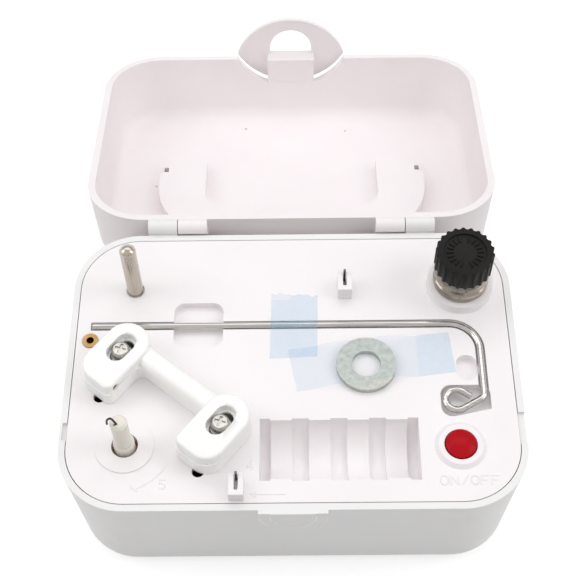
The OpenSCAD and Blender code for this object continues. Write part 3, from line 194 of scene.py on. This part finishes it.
class Paint:
    """A procedural material: its shader and the textures that drive it."""

    def __init__(self, name, **constants):
        self.material = bpy.data.materials.new(name)
        self.material.use_nodes = True
        self.tree = self.material.node_tree
        self.shader = next(n for n in self.tree.nodes if n.type == "BSDF_PRINCIPLED")
        for socket, value in constants.items():
            self.shader.inputs[socket.replace("_", " ")].default_value = value
        coords = self.tree.nodes.new("ShaderNodeTexCoord")
        self.place = coords.outputs["Object"]

    def node(self, kind, **inputs):
        made = self.tree.nodes.new(kind)
        for socket, value in inputs.items():
            made.inputs[socket].default_value = value
        return made

    def link(self, source, target):
        self.tree.links.new(source, target)

    def stretched(self, scale, turn=0.0):
        mapping = self.node("ShaderNodeMapping", Scale=scale, Rotation=(0, 0, turn))
        self.link(self.place, mapping.inputs["Vector"])
        return mapping.outputs["Vector"]

    def noise(self, scale, detail, vector=None, roughness=0.5):
        made = self.node("ShaderNodeTexNoise", Scale=scale, Detail=detail, Roughness=roughness)
        self.link(self.place if vector is None else vector, made.inputs["Vector"])
        return made.outputs["Fac"]

    def ramp(self, source, *stops):
        made = self.tree.nodes.new("ShaderNodeValToRGB")
        while len(made.color_ramp.elements) < len(stops):
            made.color_ramp.elements.new(0.5)
        for element, (at, colour) in zip(made.color_ramp.elements, stops):
            element.position = at
            element.color = grey(colour) if isinstance(colour, float) else (*colour, 1)
        self.link(source, made.inputs["Fac"])
        return made.outputs["Color"]

    def blend(self, source, low, high):
        return self.ramp(source, *zip(STOPS, (low, high)))

    def colour(self, source):
        self.link(source, self.shader.inputs["Base Color"])

    def roughness(self, source):
        self.link(source, self.shader.inputs["Roughness"])

    def bump(self, source, depth_mm, strength):
        made = self.node("ShaderNodeBump", Strength=strength, Distance=depth_mm * MM)
        self.link(source, made.inputs["Height"])
        if self.shader.inputs["Normal"].is_linked:
            self.link(self.shader.inputs["Normal"].links[0].from_socket, made.inputs["Normal"])
        self.link(made.outputs["Normal"], self.shader.inputs["Normal"])
        return self

    def vector_math(self, operation, source, second=(0, 0, 0)):
        made = self.node("ShaderNodeVectorMath")
        made.operation = operation
        made.inputs[1].default_value = second
        self.link(source, made.inputs[0])
        return made

    def around(self, x, y):
        """Distance from an upright axis, in millimetres."""
        shift = self.vector_math("SUBTRACT", self.place, (x * MM, y * MM, 0))
        flat = self.vector_math("MULTIPLY", shift.outputs[0], (1 / MM, 1 / MM, 0))
        return self.vector_math("LENGTH", flat.outputs[0]).outputs["Value"]

    def rings(self, x, y, scale):
        made = self.node("ShaderNodeTexNoise", Scale=scale, Detail=4.0)
        made.noise_dimensions = "1D"
        self.link(self.around(x, y), made.inputs["W"])
        return made.outputs["Fac"]


def moulded(name, light, shade, low, high, grain_mm=0.45, depth_mm=0.006, **constants):
    """Plastic with a faint cloud, uneven gloss and a fine grain."""
    paint = Paint(name, **constants)
    paint.colour(paint.blend(paint.noise(scale=38, detail=3.0), shade, light))
    paint.roughness(paint.blend(paint.noise(scale=160, detail=4.0), low, high))
    return paint.bump(paint.noise(scale=1 / (grain_mm * MM), detail=2.0), depth_mm, strength=0.5)


def turned_metal(name, light, shade, low, high, axis):
    """Metal with rings round an upright axis, given in millimetres."""
    paint = Paint(name, Metallic=1.0)
    rings = paint.rings(*axis, scale=9.0)
    paint.colour(paint.blend(paint.noise(scale=300, detail=4.0), shade, light))
    paint.roughness(paint.blend(rings, low, high))
    return paint.bump(rings, depth_mm=0.01, strength=0.35)


def drawn_metal(name, light, shade, low, high, along):
    """Metal with streaks along an axis, as on drawn wire or a ground pin."""
    paint = Paint(name, Metallic=1.0)
    streaks = paint.noise(scale=1.0, detail=4.0, vector=paint.stretched(along))
    paint.colour(paint.blend(streaks, shade, light))
    paint.roughness(paint.blend(streaks, low, high))
    return paint.bump(streaks, depth_mm=0.004, strength=0.4)


def zinc_plate(name):
    """Dull tumbled zinc, mottled and scratched."""
    paint = Paint(name, Metallic=0.75)
    mottle = paint.noise(scale=520, detail=5.0, roughness=0.65)
    paint.colour(paint.ramp(mottle, (0.28, (0.38, 0.395, 0.365)), (0.55, (0.51, 0.525, 0.49)),
                            (0.78, (0.63, 0.635, 0.60))))
    scratches = paint.noise(scale=1.0, detail=3.0, vector=paint.stretched((900, 5200, 900), turn=0.7))
    paint.roughness(paint.blend(scratches, 0.36, 0.58))
    paint.bump(mottle, depth_mm=0.03, strength=0.6)
    return paint.bump(scratches, depth_mm=0.012, strength=0.5)


def film(name, light, shade, alpha):
    """Thin crinkled tape that the deck shows through."""
    paint = Paint(name, Roughness=0.5, Specular_IOR_Level=0.25, Alpha=alpha)
    crepe = paint.noise(scale=1.0, detail=4.0, vector=paint.stretched((1300, 420, 900)))
    paint.colour(paint.blend(crepe, shade, light))
    return paint.bump(crepe, depth_mm=0.04, strength=0.5)


KNOB_AT = (57.55, 29.7)
ARM_SCREWS = ((-55.87, 0.25), (-22.75, -26.38))
BUSH_AT = (-67.8, 9.1)

DECK = moulded("deck white", (0.915, 0.878, 0.888), (0.893, 0.853, 0.864), 0.40, 0.50,
               Subsurface_Weight=0.05, Subsurface_Scale=0.003)
LID = moulded("lid white", (0.915, 0.865, 0.876), (0.890, 0.838, 0.850), 0.38, 0.48,
              Subsurface_Weight=0.05, Subsurface_Scale=0.003)
# The base's white is darker and greyer than the deck's: painted shade for the base's front faces, which get
# less light.
BASE_SHADED_WHITE = moulded("base white with painted shade", (0.862, 0.852, 0.846), (0.838, 0.828, 0.822), 0.38, 0.48,
               Subsurface_Weight=0.05, Subsurface_Scale=0.003)
# The arm's white is also used on the catch's lines on the base, as a painted highlight.
ARM_WHITE = moulded("arm white", (0.965, 0.960, 0.945), (0.950, 0.943, 0.925), 0.30, 0.38,
                    Subsurface_Weight=0.08, Subsurface_Scale=0.003)
IVORY = moulded("spindle ivory", (0.84, 0.80, 0.73), (0.72, 0.68, 0.60), 0.28, 0.40, 0.9, 0.03,
                Subsurface_Weight=0.3, Subsurface_Scale=0.004)
BLACK = moulded("knob black", (0.012, 0.010, 0.009), (0.004, 0.003, 0.003), 0.36, 0.52, 0.42, 0.30,
                Specular_IOR_Level=0.18)
RED = moulded("button red", (0.50, 0.008, 0.015), (0.40, 0.005, 0.010), 0.16, 0.26, 0.8, 0.006,
              Specular_IOR_Level=0.07)
RUBBER = moulded("belt rubber", (0.030, 0.030, 0.030), (0.018, 0.018, 0.018), 0.65, 0.8, 0.5, 0.02)
JACKET = moulded("cell jacket", (0.12, 0.13, 0.16), (0.09, 0.10, 0.12), 0.22, 0.30, 0.8, 0.004,
                 Coat_Weight=0.3, Coat_Roughness=0.1)
# Dark pink for the lid's dots: painted shade of small dimples and a hole in the lid's floor.
PIT_SHADE = moulded("painted pit shade", (0.62, 0.53, 0.54), (0.52, 0.43, 0.44), 0.5, 0.6)
NICKEL = turned_metal("tension nickel", (0.385, 0.345, 0.30), (0.26, 0.23, 0.198), 0.08, 0.20, KNOB_AT)
SCREW = turned_metal("screw steel", (0.58, 0.57, 0.53), (0.40, 0.39, 0.36), 0.22, 0.38, ARM_SCREWS[0])
BRASS = turned_metal("bush brass", (0.44, 0.29, 0.13), (0.28, 0.17, 0.07), 0.22, 0.36, BUSH_AT)
PIN = drawn_metal("pin nickel", (0.62, 0.565, 0.50), (0.44, 0.39, 0.33), 0.16, 0.30, (2200, 2200, 60))
WIRE = drawn_metal("wire steel", (0.68, 0.655, 0.64), (0.47, 0.45, 0.43), 0.05, 0.11, (60, 1800, 1800))
HOOK = drawn_metal("hook steel", (0.085, 0.075, 0.068), (0.040, 0.034, 0.030), 0.28, 0.42, (600, 600, 600))
GUIDE = drawn_metal("guide steel", (0.20, 0.19, 0.18), (0.10, 0.095, 0.09), 0.28, 0.42, (600, 600, 600))
STEEL = drawn_metal("plain steel", (0.62, 0.62, 0.61), (0.50, 0.50, 0.50), 0.22, 0.40, (400, 400, 900))
ZINC = zinc_plate("washer zinc")
TAPE_BLUE = film("tape blue", (0.40, 0.70, 0.96), (0.00, 0.44, 0.74), 0.165)
TAPE_PALE = film("tape pale", (0.36, 0.62, 0.90), (0.04, 0.40, 0.70), 0.105)
TAPE_CLEAR = film("tape clear", (0.44, 0.75, 0.85), (0.30, 0.62, 0.75), 0.07)

FINISH = {
    "base_tub": BASE_SHADED_WHITE, "deck_plate": DECK, "lid_shell": LID, "carry_handle": LID, "battery_door": BASE_SHADED_WHITE,
    "rear_guide_post": DECK, "front_guide_post": DECK, "stop_arm": ARM_WHITE, "stop_carriage": ARM_WHITE,
    "spindle_pulley": IVORY, "motor_pulley": IVORY, "bobbin_spindle": IVORY, "spindle_bearing": BRASS,
    "tension_knob": BLACK, "power_inlet": BLACK, "stop_switch": BLACK, "power_switch": BLACK,
    "power_button": RED, "drive_belt": RUBBER, "battery_cells": JACKET, "battery_contacts": STEEL,
    "tension_stud": NICKEL, "lower_tension_disc": NICKEL, "upper_tension_disc": NICKEL,
    "tension_spring": STEEL, "button_spring": STEEL, "spool_pin": PIN, "guide_rod": WIRE,
    "guide_wires": GUIDE, "spindle_wire": HOOK, "rod_socket": BRASS, "stop_screws": SCREW,
    "stop_washers": SCREW, "deck_screws": STEEL, "drive_motor": STEEL, "motor_shaft": STEEL,
    "spindle_shaft": STEEL, "spool_washer": ZINC, "hinge_pins": STEEL, "handle_pins": STEEL,
}

for name, cad in NODES.items():
    cad.data.materials.clear()
    cad.data.materials.append(FINISH[name].material)

# Softened edges on the moulded and turned pieces, in millimetres

FLAT = math.radians(0.2)
SHARP = math.radians(38)
CREASE = math.radians(32)
WELD = 1e-6
SOFT_SEGMENTS = 3
SOFT_EDGES = {
    "rear_guide_post": 0.3, "front_guide_post": 0.3, "carry_handle": 0.5,
    "power_button": 0.2, "tension_knob": 0.2, "stop_screws": 0.25,
}


def soften(cad, width):
    weld = cad.modifiers.new("weld", "WELD")
    weld.merge_threshold = WELD
    flat = cad.modifiers.new("flat", "DECIMATE")
    flat.decimate_type = "DISSOLVE"
    flat.angle_limit = FLAT
    bevel = cad.modifiers.new("bevel", "BEVEL")
    bevel.width = width * MM
    bevel.segments = SOFT_SEGMENTS
    bevel.limit_method = "ANGLE"
    bevel.angle_limit = SHARP
    bevel.harden_normals = True
    bevel.miter_outer = "MITER_ARC"


for name, width in SOFT_EDGES.items():
    soften(NODES[name], width)

# Pieces that only the scene has, in millimetres


def piece(name, mesh, body, paint, smooth=True):
    made = linked(name, mesh)
    mesh.materials.append(paint.material)
    for face in mesh.polygons:
        face.use_smooth = smooth
    mesh.set_sharp_from_angle(angle=CREASE)
    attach(made, body)
    return made


def mesh_of(name, shape):
    mesh = bpy.data.meshes.new(name)
    shape.to_mesh(mesh)
    shape.free()
    return mesh


def ring(shape, centre, radius, across, upright, sides):
    turns = (math.tau * k / sides for k in range(sides))
    return [shape.verts.new((centre + radius * (math.cos(a) * across + math.sin(a) * upright)) * MM)
            for a in turns]


def skin(shape, rings):
    """A closed body over its rings: a wall between neighbours and a cap at each end."""
    sides = len(rings[0])
    for low, high in zip(rings, rings[1:]):
        for k in range(sides):
            after = (k + 1) % sides
            shape.faces.new((low[k], low[after], high[after], high[k]))
    shape.faces.new(reversed(rings[0]))
    shape.faces.new(rings[-1])


def lerp(a, b, t):
    return a + (b - a) * t


# The stop arm, with its blocks' top rims rounded

ARM_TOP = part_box("stop_arm")[1].z / MM
ARM_SOFT, ARM_SEGMENTS, SINK_REACH, LEVEL = 0.9, 4, 5.6, 0.01


def on_arm_rim(edge):
    level = all(abs(v.co.z / MM - ARM_TOP) < LEVEL for v in edge.verts)
    mid = (edge.verts[0].co + edge.verts[1].co) / (2 * MM)
    return level and min(math.hypot(mid.x - x, mid.y - y) for x, y in ARM_SCREWS) > SINK_REACH


def softened_arm(name):
    shape = bmesh.new()
    shape.from_mesh(NODES["stop_arm"].data)
    bmesh.ops.remove_doubles(shape, verts=shape.verts, dist=WELD)
    bmesh.ops.dissolve_limit(shape, angle_limit=FLAT, verts=shape.verts, edges=shape.edges)
    walls = [e for e in shape.edges if len(e.link_faces) == 2]
    rim = [e for e in walls if e.calc_face_angle() > SHARP and on_arm_rim(e)]
    bmesh.ops.bevel(shape, geom=rim, offset=ARM_SOFT * MM, offset_type="OFFSET", segments=ARM_SEGMENTS,
                    profile=0.5, affect="EDGES", clamp_overlap=False)
    return mesh_of(name, shape)


arm = piece("arm_body", softened_arm("arm_body"), "arm", ARM_WHITE)
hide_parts("stop_arm")

# Set screw in the left block's side hole: distance along the arm and radius, with a socket in its end

ARM_AT = (-39.31, -13.06)
ARM_TURN = math.radians(-38.8)
PEEP_U, PEEP_V, PEEP_Z = -13.75, -10.7, 57.9
SET_R, SET_SIDES = 1.12, 20
SET_PROFILE = ((-2.6, SET_R), (-0.7, SET_R), (-0.5, SET_R - 0.2), (-0.5, 0.5), (-1.3, 0.45))


def set_screw(name):
    along = Vector((math.cos(ARM_TURN), math.sin(ARM_TURN), 0))
    across = Vector((-along.y, along.x, 0))
    start = Vector((*ARM_AT, PEEP_Z)) + PEEP_U * along + PEEP_V * across
    shape = bmesh.new()
    skin(shape, [ring(shape, start + along * u, r, across, UP, SET_SIDES) for u, r in SET_PROFILE])
    return mesh_of(name, shape)


piece("arm_set_screw", set_screw("arm_set_screw"), "arm", BRASS)

# Tape over the rod and the washer: corners are start left, end left, end right and start right

ROD_TAPE = ((-7.0, 27.2), (-7.5, 1.6), (8.4, 2.3), (8.8, 26.2))
WASHER_TAPE = ((-1.5, 5.1), (52.5, 11.3), (54.1, -4.0), (1.5, -10.8))
FILMS = (TAPE_BLUE, TAPE_PALE, TAPE_CLEAR)
BLUE, PALE, CLEAR = range(3)
ROD_PALE_Y, WASHER_BLUE_X = 24.5, 41.6
TAPE_ACROSS, TAPE_ALONG = 30, 90
TORN_PART, TORN_WAVES = 8, (9.1, 3.0, 23.0)
ROD_TORN, WASHER_TORN = (0.5, 0.06), (0.08, 0.08)
ROD_Y = 14.7
ROD_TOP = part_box("guide_rod")[1].z / MM - DECK_Z
WASHER_AT = (24.4, -1.6)
WASHER_R = 9.9
WASHER_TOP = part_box("spool_washer")[1].z / MM - DECK_Z
FILM_OVER = 0.02
ROD_FILM, WASHER_FILM = 0.11, 0.03
ROD_DRAPE = (0.9, 4.2)
WASHER_DRAPE_RIGHT = (WASHER_R - 0.4, WASHER_R + 7.2)
WASHER_DRAPE_LEFT = (WASHER_R - 0.4, WASHER_R + 9.5)


def fallen(span, x):
    """1 before the span and 0 after it, eased between."""
    t = min(1.0, max(0.0, (x - span[0]) / (span[1] - span[0])))
    return 1 - t * t * (3 - 2 * t)


def over_rod(x, y):
    return ROD_FILM + (ROD_TOP + FILM_OVER) * fallen(ROD_DRAPE, abs(y - ROD_Y))


def over_washer(x, y):
    away = x - WASHER_AT[0]
    held = min(fallen(WASHER_DRAPE_RIGHT, away), fallen(WASHER_DRAPE_LEFT, -away))
    return WASHER_FILM + (WASHER_TOP + FILM_OVER) * held


def rod_tape_film(x, y):
    return PALE if y > ROD_PALE_Y and x < 0 else BLUE


def washer_tape_film(x, y):
    if x > WASHER_BLUE_X:
        return BLUE
    return CLEAR if math.hypot(x - WASHER_AT[0], y - WASHER_AT[1]) < WASHER_R else PALE


def tape(name, corners, body, height, film_at, torn):
    start_l, end_l, end_r, start_r = (Vector(c) for c in corners)
    along = (end_l - start_l).normalized()
    points = []
    for i in range(TAPE_ALONG + 1):
        s = i / TAPE_ALONG
        ragged = max(0.0, 1 - TORN_PART * s) * torn[0] + max(0.0, 1 - TORN_PART * (1 - s)) * torn[1]
        for j in range(TAPE_ACROSS + 1):
            t = j / TAPE_ACROSS
            wave = math.sin(TORN_WAVES[0] * t + TORN_WAVES[1] * s) * math.sin(TORN_WAVES[2] * t)
            p = lerp(lerp(start_l, end_l, s), lerp(start_r, end_r, s), t) + along * (ragged * wave)
            points.append((p.x * MM, p.y * MM, (DECK_Z + height(p.x, p.y)) * MM))
    row = TAPE_ACROSS + 1
    faces = [(i * row + j, (i + 1) * row + j, (i + 1) * row + j + 1, i * row + j + 1)
             for i in range(TAPE_ALONG) for j in range(TAPE_ACROSS)]
    mesh = bpy.data.meshes.new(name)
    mesh.from_pydata(points, [], faces)
    piece(name, mesh, body, FILMS[0])
    for extra in FILMS[1:]:
        mesh.materials.append(extra.material)
    for face in mesh.polygons:
        face.material_index = film_at(face.center.x / MM, face.center.y / MM)


tape("rod_tape", ROD_TAPE, "rod", over_rod, rod_tape_film, ROD_TORN)
tape("washer_tape", WASHER_TAPE, "washer", over_washer, washer_tape_film, WASHER_TORN)

# Raised marks on the deck

MARK_W, MARK_H, MARK_SINK, MARK_SOFT, MARK_WAIST = 0.55, 0.2, 0.05, 0.16, 0.5
CAP_STEPS = 5


def bead(shape, start, end, width=MARK_W, height=MARK_H, base=DECK_Z):
    """A closed ridge with round ends between two points on a flat face."""
    angle = math.atan2(end[1] - start[1], end[0] - start[0])
    half = width / 2
    waist, top = base + height * MARK_WAIST, base + height
    rings = []
    for z, r in ((base - MARK_SINK, half), (waist, half), (top, half - MARK_SOFT)):
        loop = []
        for centre, first in ((end, angle - math.pi / 2), (start, angle + math.pi / 2)):
            for k in range(CAP_STEPS + 1):
                a = first + math.pi * k / CAP_STEPS
                x, y = centre[0] + r * math.cos(a), centre[1] + r * math.sin(a)
                loop.append(shape.verts.new((x * MM, y * MM, z * MM)))
        rings.append(loop)
    skin(shape, rings)


def bead_mesh(name, lines, **sizes):
    shape = bmesh.new()
    for line in lines:
        for start, end in zip(line, line[1:]):
            bead(shape, start, end, **sizes)
    return mesh_of(name, shape)


def in_box(points, low, high):
    return [(lerp(low[0], high[0], x), lerp(low[1], high[1], y)) for x, y in points]


O_STEPS = 14
O_TURNS = [math.tau * k / O_STEPS for k in range(O_STEPS + 1)]
ROUND = [(0.5 + 0.5 * math.cos(a), 0.5 + 0.5 * math.sin(a)) for a in O_TURNS]
FIVE = [(0.95, 1), (0.18, 1), (0.1, 0.55), (0.5, 0.64), (0.88, 0.5), (0.98, 0.28), (0.8, 0.06), (0.45, 0),
        (0.05, 0.1)]
FOUR = [(0.72, 0), (0.72, 1), (0, 0.3), (1, 0.3)]
EN = [(0, 0), (0, 1), (1, 0), (1, 1)]
SLASH = [(0.1, 0), (0.9, 1)]
EFF = [(0, 0), (0, 1), (0.9, 1)]
EFF_BAR = [(0, 0.52), (0.75, 0.52)]
LETTERS = ((ROUND,), (EN,), (SLASH,), (ROUND,), (EFF, EFF_BAR), (EFF, EFF_BAR))
LETTERS_X, LETTERS_LOW, LETTERS_HIGH, LETTER_W, LETTER_STEP = 46.2, -44.0, -40.95, 2.45, 3.2
MARKS = [
    [(-41.1, -38.22), (-42.43, -39.92), (-44.22, -41.6), (-46.64, -43.27), (-49.07, -44.43),
     (-50.47, -44.58)],
    [(-50.87, -43.23), (-50.47, -44.58), (-48.72, -45.1)],
    in_box(FIVE, (-41.96, -44.61), (-40.05, -41.62)),
    in_box(FOUR, (-14.44, -38.28), (-12.47, -35.41)),
    [(-2.6, -46.7), (-13.2, -46.6)],
    [(-11.6, -45.7), (-13.2, -46.6), (-11.6, -47.5)],
]
for k, strokes in enumerate(LETTERS):
    x = LETTERS_X + k * LETTER_STEP
    MARKS += [in_box(stroke, (x, LETTERS_LOW), (x + LETTER_W, LETTERS_HIGH)) for stroke in strokes]

# The arrow's tail is lower, because the arm's block slides over it
ARROW_TAIL = [[(-39.78, -36.18), (-41.1, -38.22)]]
TAIL_H = 0.07

piece("deck_marks", bead_mesh("deck_marks", MARKS), "base", DECK, smooth=False)
piece("arrow_tail", bead_mesh("arrow_tail", ARROW_TAIL, height=TAIL_H), "base", DECK,
      smooth=False)

# Tick marks on the knob's dished top

KNOB_DISH = 0.6
KNOB_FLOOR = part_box("tension_knob")[1].z / MM - KNOB_DISH
TICK_IN, TICK_OUT, TICK_W, TICK_H = 4.3, 5.9, 0.7, 0.45
TICK_TURNS = [math.radians(a) for a in (*range(108, 253, 18), *range(-72, 73, 18))]
TICKS = [[(KNOB_AT[0] + r * math.cos(a), KNOB_AT[1] + r * math.sin(a)) for r in (TICK_IN, TICK_OUT)]
         for a in TICK_TURNS]

knob_ticks = bead_mesh("knob_ticks", TICKS, width=TICK_W, height=TICK_H, base=KNOB_FLOOR)
piece("knob_ticks", knob_ticks, "knob", BLACK, smooth=False)

# Dark dots on the lid's floor, painted shade of two small dimples and a small hole: place and radius

LID_UP = Vector((0, 0.232, 0.973)).normalized()
LID_DOTS = ((-19.23, 139.18, 4.09, 0.5), (22.65, 137.1, 4.58, 0.4), (-54.33, 102.35, 12.87, 0.45))
DOT_SIDES, DOT_RISE = 12, 0.1


def lid_dots(name):
    shape = bmesh.new()
    turn = LID_UP.to_track_quat("Z", "Y").to_matrix()
    for *at, r in LID_DOTS:
        ends = (Vector(at) - LID_UP * DOT_RISE, Vector(at) + LID_UP * DOT_RISE)
        skin(shape, [ring(shape, end, r, turn.col[0], turn.col[1], DOT_SIDES) for end in ends])
    return mesh_of(name, shape)


# The dots are painted shade, laid on the floor where it has dimples and a hole.
piece("lid_dots", lid_dots("lid_dots"), "lid", PIT_SHADE)

# Thread catch on the spindle

HOOK_Y, HOOK_R, HOOK_SIDES, HOOK_STEPS = -30.6, 0.35, 10, 8
HOOK_PATH = ((-53.5, 65.0), (-53.85, 66.4), (-54.5, 69.0), (-55.3, 71.0), (-56.3, 70.35), (-56.75, 69.0),
             (-56.85, 67.4))


def through(points, steps):
    """A smooth curve through the points."""
    ends = [points[0] * 2 - points[1], *points, points[-1] * 2 - points[-2]]
    curve = []
    for a, b, c, d in zip(ends, ends[1:], ends[2:], ends[3:]):
        for k in range(steps):
            t = k / steps
            curve.append(0.5 * (2 * b + (c - a) * t + (2 * a - 5 * b + 4 * c - d) * t * t
                                + (3 * b - a - 3 * c + d) * t * t * t))
    return curve + [points[-1]]


def tube(name, curve, radius, sides):
    """A closed wire along a curve that keeps off the y direction."""
    side = Vector((0, 1, 0))
    shape = bmesh.new()
    rings = []
    for k, centre in enumerate(curve):
        way = curve[min(k + 1, len(curve) - 1)] - curve[max(k - 1, 0)]
        rings.append(ring(shape, centre, radius, side, way.cross(side).normalized(), sides))
    skin(shape, rings)
    return mesh_of(name, shape)


hook_curve = through([Vector((x, HOOK_Y, z)) for x, z in HOOK_PATH], HOOK_STEPS)
catch = piece("thread_catch", tube("thread_catch", hook_curve, HOOK_R, HOOK_SIDES), "spindle", HOOK)
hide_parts("spindle_wire")

# Raised lines round the catch below the front rim, sunk in the drafted wall and in the catch's plate: a
# painted highlight on the catch's edges, in a brighter white than the base

LINE_R, LINE_SIDES, LINE_SINK = 0.42, 12, 0.26
LINE_STEP, LEAST_STEPS = 6, 4
WALL_Y, WALL_Z, WALL_DRAFT = -51.28, 35, 0.0483
PLATE_Y = -53.25
OVAL_A, OVAL_B, OVAL_WALL_Z, OVAL_PLATE_Z = 7.3, 12.0, 45.6, 48.45
CORNER_X, CORNER_A, CORNER_B, CORNER_Z = 7.9, 2.8, 7.4, 43.6


def on_wall(z):
    return WALL_Y - WALL_DRAFT * (z - WALL_Z)


def on_plate(z):
    return PLATE_Y


def oval(x, z, a, b, first, last, face):
    """Part of an oval on a face, between two angles in degrees."""
    steps = max(LEAST_STEPS, int(abs(last - first) / LINE_STEP))
    curve = []
    for k in range(steps + 1):
        turn = math.radians(lerp(first, last, k / steps))
        height = z + b * math.sin(turn)
        curve.append(Vector((x + a * math.cos(turn), face(height) + LINE_SINK, height)))
    return curve


CATCH_HIGHLIGHT_LINES = {
    "catch_line": oval(0, OVAL_WALL_Z, OVAL_A, OVAL_B, 200, 340, on_wall),
    "catch_line_left": oval(0, OVAL_PLATE_Z, OVAL_A, OVAL_B, 182, 200, on_plate),
    "catch_line_right": oval(0, OVAL_PLATE_Z, OVAL_A, OVAL_B, 340, 358, on_plate),
    "catch_corner_left": oval(-CORNER_X, CORNER_Z, CORNER_A, CORNER_B, 186, 262, on_wall),
    "catch_corner_right": oval(CORNER_X, CORNER_Z, CORNER_A, CORNER_B, 278, 354, on_wall),
}
# The arm's brighter white on these lines is a painted highlight.
for name, curve in CATCH_HIGHLIGHT_LINES.items():
    piece(name, tube(name, curve, LINE_R, LINE_SIDES), "base", ARM_WHITE)
